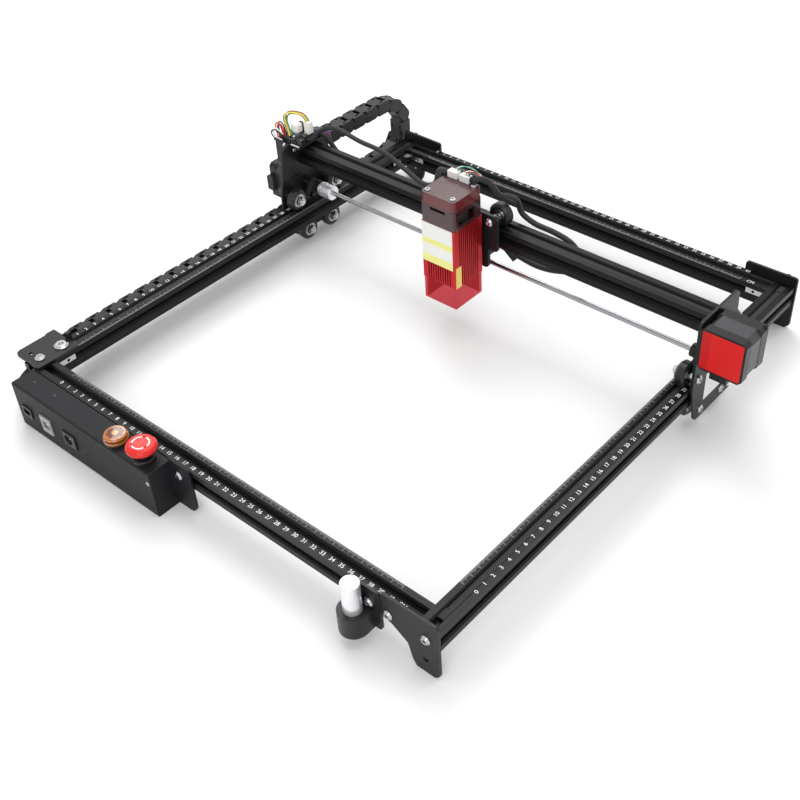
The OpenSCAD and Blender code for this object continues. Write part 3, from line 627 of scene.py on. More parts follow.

# The lighter edge colours of the finishes below are edge wear and a painted edge highlight.
RAIL_X = Finish("anodised_along_x", BLACK, SOFT_BLACK, 0.36, 0.55, 700.0, (0.02, 1, 1), 0.10,
                worn=(0.35, 0.35, 0.37), specular=0.3)
RAIL_Y = Finish("anodised_along_y", BLACK, SOFT_BLACK, 0.36, 0.55, 700.0, (1, 0.02, 1), 0.10,
                worn=(0.35, 0.35, 0.37), specular=0.3)
PLATE = Finish("powder_coat", (0.007, 0.007, 0.008), (0.012, 0.012, 0.014), 0.42, 0.0, 1800.0, bump=0.25,
               wear=0.35, specular=0.3)
BOX = Finish("fine_powder_coat", (0.009, 0.0095, 0.011), (0.014, 0.0145, 0.0165), 0.5, 0.0, 2600.0,
             bump=0.3, wear=0.3, specular=0.17)
ZINC = Finish("zinc_plate", (0.42, 0.42, 0.44), (0.56, 0.56, 0.58), 0.18, 1.0, 1500.0, bump=0.05, wear=0.0)
DARK_STEEL = Finish("blackened_screw", (0.045, 0.045, 0.048), (0.07, 0.07, 0.074), 0.25, 1.0, 1500.0,
                    bump=0.05, wear=0.4)
SHAFT = Finish("ground_steel", (0.33, 0.33, 0.35), (0.40, 0.40, 0.42), 0.2, 1.0, 160.0, (0.02, 1, 1), 0.0,
               wear=0.0)
COUPLING = LinedFinish("turned_aluminium", (0.80, 0.80, 0.82), (0.88, 0.88, 0.90), 0.46, 0.9, 2500.0,
                       bump=0.06, wear=0.0, pitch=0.0005, line_share=0.12, line=(0.55, 0.55, 0.57))
BELT_X = LinedFinish("belt_along_x", (0.014, 0.014, 0.014), (0.03, 0.03, 0.03), 0.7, 0.0, 1500.0, bump=0.6,
                     depth=0.0006, wear=0.0, pitch=0.002, line_share=0.5, line=(0.004, 0.004, 0.004))
BELT_Y = LinedFinish("belt_along_y", (0.014, 0.014, 0.014), (0.03, 0.03, 0.03), 0.7, 0.0, 1500.0, bump=0.6,
                     depth=0.0006, wear=0.0, axis=Axis.Y, pitch=0.002, line_share=0.5,
                     line=(0.004, 0.004, 0.004))
BLACK_PLASTIC = Finish("moulded_black", (0.008, 0.008, 0.009), (0.014, 0.014, 0.015), 0.38, 0.0, 2200.0,
                       bump=0.18, specular=0.3, wear=0.25, worn=(0.12, 0.12, 0.13), rounding=0.0005)
CHAIN = Finish("chain_nylon", (0.010, 0.010, 0.011), (0.018, 0.018, 0.020), 0.42, 0.0, 2000.0, bump=0.2,
               wear=0.4, worn=(0.12, 0.12, 0.13), rounding=0.0006, specular=0.28)
TYRE = Finish("wheel_polymer", (0.009, 0.009, 0.010), (0.018, 0.018, 0.019), 0.33, 0.0, 2500.0, bump=0.1,
              wear=0.15, worn=(0.1, 0.1, 0.1), specular=0.35)
WHITE_PLASTIC = Finish("white_nylon", (0.78, 0.78, 0.75), (0.85, 0.85, 0.82), 0.4, 0.0, 1500.0, bump=0.1,
                       wear=0.0)
# The amber lens has a painted glow in the middle and a painted shade ring round it.
AMBER = LensFinish("amber_acrylic", (0.52, 0.15, 0.012), (0.62, 0.19, 0.02), 0.08, 0.0, 400.0, bump=0.05,
                   wear=0.0, coat=0.6, transmission=0.3, ior=1.49)
RED_CAP = Finish("red_urea", (0.60, 0.012, 0.010), (0.68, 0.018, 0.014), 0.3, 0.0, 800.0, bump=0.04,
                 wear=0.0, coat=0.1, specular=0.3)
FINS = Finish("red_anodised", (0.42, 0.006, 0.010), (0.55, 0.012, 0.018), 0.34, 0.75, 900.0, (1, 1, 0.03),
              0.1, wear=0.6, worn=(0.75, 0.12, 0.12), rounding=0.0003)
CAP = Finish("smoked_red_acrylic", (0.034, 0.009, 0.011), (0.050, 0.013, 0.016), 0.2, 0.0, 500.0,
             bump=0.03, wear=0.3, worn=(0.35, 0.05, 0.06), coat=0.4, transmission=0.1)
# The band at the top face paints it darker and greyer than the sides: a painted tone for how the light falls on the
# top.
COVER = BandFinish("mauve_red_acrylic", (0.120, 0.010, 0.013), (0.150, 0.015, 0.018), 0.22, 0.0, 500.0,
                   bump=0.03, wear=0.4, worn=(0.5, 0.10, 0.10), coat=0.4, transmission=0.12,
                   bands=((0.1647, 0.1653),), band=(0.068, 0.016, 0.020))
SHIELD = Finish("clear_red_acrylic", (0.55, 0.055, 0.07), (0.62, 0.08, 0.10), 0.06, 0.0, 300.0, bump=0.02,
                wear=0.0, transmission=0.93, ior=1.12, rounding=0.0002)
ADAPTER = BoardFinish("black_solder_mask", (0.010, 0.011, 0.012), (0.018, 0.019, 0.021), 0.35, 0.0, 900.0,
                      wear=0.0, specular=0.3)
FAN_BOARD = BoardFinish("green_solder_mask", (0.010, 0.045, 0.018), (0.016, 0.065, 0.026), 0.35, 0.0,
                        900.0, wear=0.0, bands=((0.1648, 0.18),), band=(0.80, 0.80, 0.77))
PORTS = BandFinish("socket_shells", (0.012, 0.012, 0.013), (0.022, 0.022, 0.024), 0.35, 0.0, 1500.0,
                   bump=0.1, wear=0.2, axis=Axis.X, bands=((-0.2039, -0.1888),), band=(0.34, 0.34, 0.35))
X_MOTOR = BandFinish("motor_x", (0.008, 0.008, 0.009), (0.015, 0.015, 0.017), 0.36, 0.2, 1300.0, bump=0.15,
                     wear=0.3, axis=Axis.Y, bands=((0.08186, 0.09861),), band=(0.07, 0.07, 0.075),
                     band_lines=0.0008, specular=0.35)
Y_MOTOR = BandFinish("motor_y", (0.008, 0.008, 0.009), (0.015, 0.015, 0.017), 0.36, 0.2, 1300.0, bump=0.15,
                     wear=0.3, axis=Axis.X, bands=((-0.28438, -0.26763),), band=(0.07, 0.07, 0.075),
                     band_lines=0.0008, specular=0.3)
PRINT = Finish("ruler_print", (0.80, 0.80, 0.81), (0.90, 0.90, 0.91), 0.6, 0.0, 3000.0, bump=0.1, wear=0.0)
TICK_PRINT = Finish("ruler_tick_print", (0.36, 0.36, 0.37), (0.46, 0.46, 0.47), 0.6, 0.0, 3000.0, bump=0.1,
                    wear=0.0)
LABEL = BandFinish("printed_label", (0.78, 0.78, 0.75), (0.84, 0.84, 0.81), 0.35, 0.0, 800.0, bump=0.03,
                   wear=0.0, coat=0.3, bands=((0.0903, 0.0990), (0.1110, 0.1172)), band=(0.82, 0.80, 0.25))
STICKER = Finish("white_sticker", (0.76, 0.76, 0.74), (0.83, 0.83, 0.81), 0.4, 0.0, 700.0, bump=0.04,
                 wear=0.0)
YELLOW = Finish("yellow_sticker", (0.80, 0.62, 0.10), (0.86, 0.70, 0.16), 0.4, 0.0, 700.0, bump=0.04,
                wear=0.0)
RED_PANEL = BandFinish("red_panel", (0.60, 0.010, 0.010), (0.66, 0.014, 0.014), 0.36, 0.0, 700.0,
                       bump=0.03, wear=0.0, specular=0.25, axis=Axis.X, bands=((0.252, 0.2612),),
                       band=(0.52, 0.008, 0.010))
# The sleeve's lighter colour also serves as the painted highlight on the strands' crowns.
SLEEVE = BraidFinish("braided_sleeve", (0.007, 0.007, 0.008), (0.026, 0.026, 0.028), 0.5, 0.0, 900.0,
                     bump=0.5, depth=0.0004, wear=0.0, specular=0.3)
GAUGE = Finish("polished_gauge", (0.80, 0.79, 0.82), (0.87, 0.86, 0.89), 0.2, 0.65, 900.0, (1, 1, 0.05),
               0.04, wear=0.0)


class Wire(Enum):
    """Colours of the loose leads' insulation."""

    RED = (0.55, 0.02, 0.02)
    BLACK = (0.012, 0.012, 0.012)
    WHITE = (0.75, 0.75, 0.72)
    GREEN = (0.02, 0.30, 0.16)
    BLUE = (0.03, 0.10, 0.45)
    YELLOW = (0.75, 0.52, 0.05)
    PURPLE = (0.13, 0.06, 0.30)
    BROWN = (0.22, 0.09, 0.03)

    def finish(self) -> Finish:
        """Returns the finish of this insulation."""
        r, g, b = self.value
        return Finish(f"lead_{self.name.lower()}", (r, g, b), (1.25 * r, 1.25 * g, 1.25 * b),
                      0.35, 0.0, 1200.0, bump=0.05, wear=0.0, rounding=0.0001)


# Mesh tools


def link(name: str, data: bpy.types.ID, *finishes: Finish) -> bpy.types.Object:
    """Adds a mesh, a lamp or a camera to the scene.

    Args:
        name: Name of the object.
        data: What it shows.
        finishes: Finishes added to a mesh's slots.

    Returns:
        The object.
    """
    for finish in finishes:
        data.materials.append(finish.material())
    made = bpy.data.objects.new(name, data)
    bpy.context.scene.collection.objects.link(made)
    return made


class Piece:
    def __init__(self, name: str) -> None:
        """Starts an empty mesh.

        Args:
            name: Name of the piece.
        """
        self.name = name
        self.bm = bmesh.new()
        self.uv = self.bm.loops.layers.uv.new("UVMap")

    def prism(self, outline: Sequence[tuple[float, float]], place: Matrix, low: float,
              high: float) -> "Piece":
        """Adds a prism.

        Args:
            outline: Anticlockwise corners in its plane, in metres.
            place: Matrix from the plane to the row frame.
            low: Where it starts along the plane's normal.
            high: Where it ends.

        Returns:
            This piece.
        """
        bottom = [self.bm.verts.new(place @ Vector((x, y, low))) for x, y in outline]
        top = [self.bm.verts.new(place @ Vector((x, y, high))) for x, y in outline]
        n = len(outline)
        self.bm.faces.new(bottom[::-1])
        self.bm.faces.new(top)
        for k in range(n):
            self.bm.faces.new((bottom[k], bottom[(k + 1) % n], top[(k + 1) % n], top[k]))
        return self

    def turned(self, profile: Sequence[tuple[float, float]], place: Matrix, sides: int = 24,
               arc: tuple[float, float] = (0.0, 360.0)) -> "Piece":
        """Adds a solid of revolution.

        Args:
            profile: Closed loop of radius and height, in metres, all off the axis.
            place: Matrix from the turning axis Z to the row frame.
            sides: Steps round the axis.
            arc: Start and end angle in degrees.

        Returns:
            This piece.
        """
        whole = arc[1] - arc[0] >= 359.9
        rings = []
        for k in range(sides if whole else sides + 1):
            a = math.radians(arc[0] + (arc[1] - arc[0]) * k / sides)
            rings.append([self.bm.verts.new(place @ Vector((r * math.cos(a), r * math.sin(a), h)))
                          for r, h in profile])
        n = len(profile)
        for k in range(sides):
            a, b = rings[k], rings[(k + 1) % len(rings)]
            for j in range(n):
                self.bm.faces.new((a[j], b[j], b[(j + 1) % n], a[(j + 1) % n]))
        if not whole:
            self.bm.faces.new(rings[0])
            self.bm.faces.new(rings[-1][::-1])
        return self

    def tube(self, points: Sequence[Vector], radius: float, sides: int = 8) -> "Piece":
        """Adds a round tube along points, with its coordinates round and along it.

        Args:
            points: The centreline.
            radius: The tube's radius.
            sides: Sides of its section.

        Returns:
            This piece.
        """
        turn = Vector((0, 0, 1))
        rings: list[list[bmesh.types.BMVert]] = []
        lengths = [0.0]
        for i, p in enumerate(points):
            ahead = (points[min(i + 1, len(points) - 1)] - points[max(i - 1, 0)]).normalized()
            if abs(ahead.dot(turn)) > 0.95 and i == 0:
                turn = Vector((1, 0, 0))
            side = (turn - ahead * ahead.dot(turn)).normalized()
            turn = side
            up = ahead.cross(side)
            rings.append([self.bm.verts.new(p + radius * (math.cos(2 * math.pi * k / sides) * side
                                                          + math.sin(2 * math.pi * k / sides) * up))
                          for k in range(sides)])
            if i:
                lengths.append(lengths[-1] + (p - points[i - 1]).length)
        for i in range(len(rings) - 1):
            for k in range(sides):
                j = (k + 1) % sides
                face = self.bm.faces.new((rings[i][k], rings[i][j], rings[i + 1][j], rings[i + 1][k]))
                face.smooth = True
                for loop, (u, v) in zip(face.loops, ((k, i), (k + 1, i), (k + 1, i + 1), (k, i + 1))):
                    loop[self.uv].uv = (u / sides, lengths[v])
        self.bm.faces.new(rings[0][::-1])
        self.bm.faces.new(rings[-1])
        return self

    def block(self, low: Vector, high: Vector, bevel: float = 0.0002) -> "Piece":
        """Adds a box with cut edges.

        Args:
            low: Its lowest corner.
            high: Its highest corner.
            bevel: Width of the cut.

        Returns:
            This piece.
        """
        made = bmesh.ops.create_cube(self.bm, size=1.0)
        size, middle = high - low, (high + low) / 2
        for v in made["verts"]:
            v.co = Vector((v.co.x * size.x, v.co.y * size.y, v.co.z * size.z)) + middle
        edges = list({e for v in made["verts"] for e in v.link_edges})
        bmesh.ops.bevel(self.bm, geom=edges, offset=bevel, segments=1, affect="EDGES")
        return self

    def object(self, *finishes: Finish) -> bpy.types.Object:
        """Ends the mesh.

        Args:
            finishes: Its material slots.

        Returns:
            The object, linked to the scene.
        """
        bmesh.ops.recalc_face_normals(self.bm, faces=self.bm.faces)
        mesh = bpy.data.meshes.new(self.name)
        self.bm.to_mesh(mesh)
        self.bm.free()
        return link(self.name, mesh, *finishes)


def hand_over(obj: bpy.types.Object, body: str, slot: str, *nodes: str) -> bpy.types.Object:
    """Lets a piece ride on its body, names its slot and logs it.

    Args:
        obj: The piece.
        body: Name of the body.
        slot: The record's material slot.
        nodes: CAD nodes that it replaces.

    Returns:
        The piece.
    """
    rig.ride(obj, body)
    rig.slot(obj, slot)
    if nodes:
        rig.replaces(obj, *nodes)
    LOG.info("%s rides on %s", obj.name, body)
    return obj


def moved(route: Sequence[Point], x: float, y: float, z: float) -> list[Point]:
    """Returns a route moved by so many millimetres along each axis."""
    return [(a + x, b + y, c + z) for a, b, c in route]


def leads(group: str, runs: dict[Wire, Sequence[Sequence[Point]]],
          radius: float) -> Iterator[bpy.types.Object]:
    """Makes coloured leads, one piece for each colour.

    Args:
        group: First part of the pieces' names.
        runs: Routes by colour, in the part's millimetres.
        radius: Radius of a lead in metres.

    Yields:
        Each piece.
    """
    for colour, routes in runs.items():
        piece = Piece(f"{group}_leads_{colour.name.lower()}")
        for route in routes:
            piece.tube(smooth_curve(route, LEAD_STEPS), radius, LEAD_SIDES)
        yield piece.object(colour.finish())


def plane(origin: Vector, across: Point, up: Point) -> Matrix:
    """Returns the matrix of a plane.

    Args:
        origin: Its origin in the row frame.
        across: Direction of its X.
        up: Direction of its Y.

    Returns:
        The matrix from the plane to the row frame.
    """
    x, y = Vector(across).normalized(), Vector(up).normalized()
    z = x.cross(y)
    m = Matrix((x, y, z)).transposed().to_4x4()
    m.translation = origin
    return m


class Facing(Enum):
    """Ways that a flat piece faces, by the directions of its X and Y."""

    UP = ((1, 0, 0), (0, 1, 0))
    FRONT = ((1, 0, 0), (0, 0, 1))
    RIGHT = ((0, 1, 0), (0, 0, 1))

    def place(self, x: float, y: float, z: float) -> Matrix:
        """Returns the matrix of a plane that faces this way at a point in the part's millimetres."""
        return plane(at(x, y, z), *self.value)


def rounded_rect(w: float, h: float, r: float, n: int = 4) -> list[tuple[float, float]]:
    """Returns a rounded rectangle's outline, centred on the origin.

    Args:
        w: Width.
        h: Height.
        r: Corner radius.
        n: Steps round a corner.

    Returns:
        The anticlockwise outline.
    """
    out = []
    for q, (sx, sy) in enumerate(((1, 1), (-1, 1), (-1, -1), (1, -1))):
        for k in range(n + 1):
            a = math.radians(90 * q + 90 * k / n)
            out.append((sx * (w / 2 - r) + r * math.cos(a), sy * (h / 2 - r) + r * math.sin(a)))
    return out


@dataclass(frozen=True)
class Sticker:
    """A thin sticker or panel on a face, sized in metres, with its middle in the part's millimetres."""

    name: str
    body: str
    slot: str
    finish: Finish
    facing: Facing
    middle: Point
    width: float
    height: float
    corner: float
    thickness: float = 0.0002

    def build(self) -> None:
        """Makes the sticker on its body."""
        outline = rounded_rect(self.width, self.height, self.corner)
        made = Piece(self.name).prism(outline, self.facing.place(*self.middle), 0.0, self.thickness)
        hand_over(made.object(self.finish), self.body, self.slot)


def pan_head(radius: float, height: float) -> list[tuple[float, float]]:
    """Returns the section of a small pan head with its drive.

    Args:
        radius: Its radius in millimetres.
        height: Its height in millimetres.

    Returns:
        The closed section in metres.
    """
    shape = ((0.25, 0.0), (radius, 0.0), (radius, 0.5 * height), (0.75 * radius, height),
             (0.42 * radius, height), (0.40 * radius, 0.45 * height), (0.25, 0.4 * height))
    return [(r * MM, h * MM) for r, h in shape]


# Sub-assemblies


class CarriedFinishes:
    """Gives the carried-over CAD nodes their finishes."""

    by_node: dict[str, Finish] = {
        "front_rail": RAIL_X, "rear_rail": RAIL_X, "gantry_beam": RAIL_X, "left_rail": RAIL_Y,
        "right_rail": RAIL_Y, "corner_brackets": ZINC, "frame_screws": ZINC, "gantry_bolts": ZINC,
        "carriage_axles": ZINC, "y_belts": BELT_Y, "belt_loops": BELT_Y, "x_belt": BELT_X,
        "control_box": BOX, "rear_bumpers": BLACK_PLASTIC, "button_collars": BLACK_PLASTIC,
        "gauge_holder": BLACK_PLASTIC, "stop_stem": BLACK_PLASTIC, "amber_button": AMBER,
        "stop_cap": RED_CAP, "focus_gauge": GAUGE, "chain_lower_run": CHAIN, "chain_bend": CHAIN,
        "chain_upper_root": CHAIN, "x_motor": X_MOTOR, "y_motor": Y_MOTOR, "drive_shaft": SHAFT,
        "shaft_coupling": COUPLING, "x_idler_pulley": COUPLING, "y_pulleys": BLACK_PLASTIC,
        "x_drive_pulley": BLACK_PLASTIC, "front_upper_wheels": TYRE, "rear_upper_wheels": TYRE,
        "front_lower_wheels": TYRE, "rear_lower_wheels": TYRE, "left_top_wheel": TYRE,
        "right_top_wheel": TYRE, "under_wheel": TYRE, "laser_heatsink": FINS, "laser_cap": CAP,
        "laser_shield": SHIELD, "ports": PORTS, "laser_cover": COVER, "adapter_board": ADAPTER,
        "laser_board": FAN_BOARD,
    }

    def apply(self) -> None:
        """Puts a finish in every material slot of every node."""
        for name, node in frame["nodes"].items():
            finish = self.by_node.get(name, PLATE)
            for slot in node.material_slots:
                slot.material = finish.material()
            LOG.info("%s: %s", name, finish.name)


@dataclass
class Cables:
    """The sleeved cables of the laser module and the box's sleeve.

    A free cable is cut where it lies on the carriage, at a point counted along its rounded route.
    """

    head_radius: float = 0.0025
    slack_radius: float = 0.0028
    box_radius: float = 0.003
    steps: int = 6
    head_cut: int = 51
    slack_cut: int = 33
    head_route: tuple[Point, ...] = (
        (-238.55, 101.2, 123.4), (-231, 102.2, 126), (-220, 105.2, 138), (-200, 107.2, 146),
        (-166, 107.2, 142), (-132, 107.2, 140), (-104, 107.2, 130), (-80, 105.2, 124), (-60, 99.2, 134),
        (-46, 89.2, 154), (-38, 83.2, 164), (-27.75, 79.8, 168.2), (-25.75, 79.8, 168.2),
        (-23.75, 79.8, 168.2))
    slack_route: tuple[Point, ...] = (
        (1.65, 80.7, 168.4), (3.65, 80.7, 168.4), (5.65, 80.7, 168.4), (10.45, 84.2, 170.2),
        (16, 90.2, 165), (21, 98.2, 151), (22.5, 110.2, 144), (24, 121.7, 134), (28, 124.2, 121),
        (44, 124.2, 115), (66, 124.2, 114), (86, 124.7, 109), (96, 125.2, 96), (92, 126.2, 82),
        (74, 126.2, 72), (46, 125.7, 67), (10, 125.2, 72), (-60, 124.2, 84), (-150, 124.2, 88),
        (-200, 124.7, 97), (-219, 124.2, 106), (-226, 122.2, 116), (-231, 120.4, 122.4),
        (-238.55, 120.2, 123.4))
    box_route: tuple[Point, ...] = (
        (-234.55, -279.5, 22), (-249.55, -279.5, 22), (-261.55, -271.5, 24), (-264.4, -257.5, 29),
        (-264.4, -239.5, 32.9), (-264.4, -223.5, 32.9))

    def build(self) -> None:
        head = smooth_curve(self.head_route, self.steps)
        self.stretch("head_sleeve", head[:self.head_cut + 1], self.head_radius, "head_cable",
                     ("gantry", "carriage"), at(-238.4, 105, 130), at(-53, 105, 130))
        self.stretch("head_sleeve_end", head[self.head_cut:], self.head_radius, "head_cable",
                     ("carriage", "laser"), head[self.head_cut], at(-25, 80, 168))
        slack = smooth_curve(self.slack_route, self.steps)
        self.stretch("slack_sleeve_end", slack[:self.slack_cut + 1], self.slack_radius, "slack_cable",
                     ("laser", "carriage"), at(*PLUG_END), at(*BEND_END))
        self.stretch("slack_sleeve", slack[self.slack_cut:], self.slack_radius, "slack_cable",
                     ("carriage", "gantry"), at(30, 124.2, 119), at(2.1, 124.2, 39.3))
        line = smooth_curve(self.box_route, 8)
        sleeve = Piece("box_sleeve").tube(line, self.box_radius, SLEEVE_SIDES).object(SLEEVE)
        hand_over(sleeve, "frame", "cable_jacket", "box_cable")

    @staticmethod
    def stretch(name: str, line: Sequence[Vector], radius: float, node: str, bodies: tuple[str, str],
                start: Vector, end: Vector) -> None:
        """Makes one stretch of a free cable, bent between two bodies.

        Args:
            name: Name of the piece.
            line: Its centreline.
            radius: Its radius in metres.
            node: The CAD node that it replaces.
            bodies: The bodies before the blend's start and past its end.
            start: Where the blend starts.
            end: Where it ends.
        """
        made = Piece(name).tube(line, radius, SLEEVE_SIDES).object(SLEEVE)
        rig.slot(made, "cable_jacket")
        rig.replaces(made, node)
        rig.cord(made, exit=line[0], length=path_length(line), diameter=2 * radius, far_end="object",
                stiffness="medium", lay="loose", path=line)
        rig.blend(made, *bodies, start, end)
        LOG.info("%s bends between %s and %s", name, *bodies)


@dataclass
class ChainSkins:
    """The chain's two stretches that change length, as meshes that bend with the gantry."""

    level: float = 60.0
    upper: tuple[float, float] = (162.2, 323.8)
    lower: tuple[float, float] = (81.4, 404.6)

    def build(self) -> None:
        """Copies the two stretches and blends them."""
        self.skin("chain_upper_skin", "chain_upper_run", "gantry", "frame", *self.upper)
        self.skin("chain_lower_skin", "chain_lower_end", "frame", "gantry", *self.lower)

    def skin(self, name: str, node: str, near: str, far: str, start: float, end: float) -> None:
        """Makes one stretch.

        Args:
            name: Name of the piece.
            node: The CAD node that it replaces.
            near: Body at its start.
            far: Body past its end.
            start: Where the blend starts along Y, in the part's millimetres.
            end: Where it would end.
        """
        mesh = frame["nodes"][node].data.copy()
        mesh.materials.clear()
        made = link(name, mesh, CHAIN)
        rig.slot(made, "black_plastic")
        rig.replaces(made, node)
        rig.blend(made, near, far, at(0, start, self.level), at(0, end, self.level))
        LOG.info("%s bends between %s and %s", name, near, far)


@dataclass
class Rulers:
    """Numerals and ticks printed on the four rails' top faces."""

    last: int = 40
    height: float = 3.9
    lift: float = 50.03
    long_tick: float = 4.4
    half_tick: float = 3.0
    short_tick: float = 1.8
    line: float = 0.28
    unit_gap: float = 11.0
    rear_unit_drop: float = 14.9
    zero_x: float = -198.55
    zero_y: float = -219.8

    def build(self) -> None:
        """Prints the four rulers, each from its numerals' and its ticks' distance from the middle."""
        for name, digits, ticks, grow in (("front", -263.3, -247.6, -1), ("rear", 264.6, 247.7, 1)):
            self.numerals(f"{name}_ruler_numerals", (self.zero_x, digits), (1, 0, 0), (0, 1, 0))
            self.ticks(f"{name}_ruler_ticks", (self.zero_x, ticks), (1, 0, 0), (0, grow, 0))
        for name, digits, ticks, grow in (("right", 246.8, 230.9, 1), ("left", -246.8, -230.9, -1)):
            self.numerals(f"{name}_ruler_numerals", (digits, self.zero_y), (0, 1, 0), (-1, 0, 0))
            self.ticks(f"{name}_ruler_ticks", (ticks, self.zero_y), (0, 1, 0), (grow, 0, 0))

    def numerals(self, name: str, start: tuple[float, float], along: Point, up: Point) -> None:
        """Prints the centimetres.

        Args:
            name: Name of the piece.
            start: Middle of the zero.
            along: Direction of counting.
            up: Direction of a numeral's top.
        """
        bm = bmesh.new()
        texts = [(str(k), 10.0 * k) for k in range(self.last + 1)]
        texts.append(("CM", 10.0 * self.last + self.unit_gap))
        for text, distance in texts:
            curve = bpy.data.curves.new(name, "FONT")
            curve.body = text
            curve.size = self.height * 1.35 * MM
            curve.align_x = "CENTER"
            curve.align_y = "CENTER"
            curve.resolution_u = 3
            holder = bpy.data.objects.new(name, curve)
            mesh = bpy.data.meshes.new_from_object(holder)
            drop = self.rear_unit_drop if text == "CM" and name.startswith("rear") else 0.0
            x, y = (middle + way * distance for middle, way in zip(start, along))
            place = at(x, y - drop, self.lift)
            mesh.transform(plane(place, along, up))
            bm.from_mesh(mesh)
            bpy.data.objects.remove(holder)
            bpy.data.curves.remove(curve)
            bpy.data.meshes.remove(mesh)
        mesh = bpy.data.meshes.new(name)
        bm.to_mesh(mesh)
        bm.free()
        hand_over(link(name, mesh, PRINT), "frame", "white_plastic")

    def ticks(self, name: str, start: tuple[float, float], along: Point, inward: Point) -> None:
        """Prints the millimetres with a node tree that sets a bar on each point of a line.

        Args:
            name: Name of the piece.
            start: Foot of the first tick.
            along: Direction of counting.
            inward: Direction that the ticks grow in.
        """
        mesh = tick_mesh(self, name)
        mesh.transform(plane(at(*start, self.lift), along, inward))
        hand_over(link(name, mesh), "frame", "white_plastic")


def tick_tree(finish: Finish) -> bpy.types.NodeTree:
    """Makes or finds the node tree that sets out a scale's ticks.

    Args:
        finish: Finish of the ticks.

    Returns:
        The geometry node tree.
    """
    name = "scale_ticks"
    if name in bpy.data.node_groups:
        return bpy.data.node_groups[name]
    tree = bpy.data.node_groups.new(name, "GeometryNodeTree")
    tree.interface.new_socket("Count", in_out="INPUT", socket_type="NodeSocketInt")
    for label in ("Step", "Long", "Half", "Short", "Line"):
        tree.interface.new_socket(label, in_out="INPUT", socket_type="NodeSocketFloat")
    tree.interface.new_socket("Geometry", in_out="OUTPUT", socket_type="NodeSocketGeometry")
    t = Tree(tree)
    start, end = t.add("NodeGroupInput"), t.add("NodeGroupOutput")
    step = t.add("ShaderNodeCombineXYZ")
    t.join(start.outputs["Step"], step.inputs["X"])
    line = t.add("GeometryNodeMeshLine", mode="OFFSET")
    t.join(start.outputs["Count"], line.inputs["Count"])
    t.join(step.outputs[0], line.inputs["Offset"])
    bar = t.add("GeometryNodeMeshGrid", {"Size X": 1.0, "Size Y": 1.0, "Vertices X": 2, "Vertices Y": 2})
    foot = t.add("GeometryNodeTransform", {"Translation": (0.0, 0.5, 0.0)})
    t.join(bar.outputs["Mesh"], foot.inputs["Geometry"])
    index = t.add("GeometryNodeInputIndex").outputs[0]
    tenth = t.maths("LESS_THAN", t.maths("MODULO", index, 10.0), 0.5)
    fifth = t.maths("LESS_THAN", t.maths("MODULO", index, 5.0), 0.5)
    half = t.maths("MULTIPLY", t.maths("SUBTRACT", start.outputs["Half"], start.outputs["Short"]), fifth)
    long = t.maths("MULTIPLY", t.maths("SUBTRACT", start.outputs["Long"], start.outputs["Half"]), tenth)
    length = t.maths("ADD", t.maths("ADD", half, long), start.outputs["Short"])
    scale = t.add("ShaderNodeCombineXYZ", {"Z": 1.0})
    t.join(start.outputs["Line"], scale.inputs["X"])
    t.join(length, scale.inputs["Y"])
    spread = t.add("GeometryNodeInstanceOnPoints")
    t.join(line.outputs[0], spread.inputs["Points"])
    t.join(foot.outputs[0], spread.inputs["Instance"])
    t.join(scale.outputs[0], spread.inputs["Scale"])
    real = t.add("GeometryNodeRealizeInstances")
    t.join(spread.outputs[0], real.inputs[0])
    paint = t.add("GeometryNodeSetMaterial", {"Material": finish.material()})
    t.join(real.outputs[0], paint.inputs["Geometry"])
    t.join(paint.outputs[0], end.inputs["Geometry"])
    return tree


def tick_mesh(rulers: Rulers, name: str) -> bpy.types.Mesh:
    """Evaluates the tick tree.

    Args:
        rulers: Sizes of the scale.
        name: Name of the mesh.

    Returns:
        The ticks along X from the origin, growing to +Y.
    """
    tree = tick_tree(TICK_PRINT)
    holder = link(name + "_maker", bpy.data.meshes.new(name + "_maker"))
    modifier = holder.modifiers.new("ticks", "NODES")
    modifier.node_group = tree
    sizes = {"Count": rulers.last * 10 + 1, "Step": MM, "Long": rulers.long_tick * MM,
             "Half": rulers.half_tick * MM, "Short": rulers.short_tick * MM, "Line": rulers.line * MM}
    for socket in tree.interface.items_tree:
        if socket.in_out == "INPUT":
            modifier[socket.identifier] = sizes[socket.name]
    holder.data.update()
    graph = bpy.context.evaluated_depsgraph_get()
    mesh = bpy.data.meshes.new_from_object(holder.evaluated_get(graph))
    mesh.name = name
    bpy.data.objects.remove(holder)
    return mesh


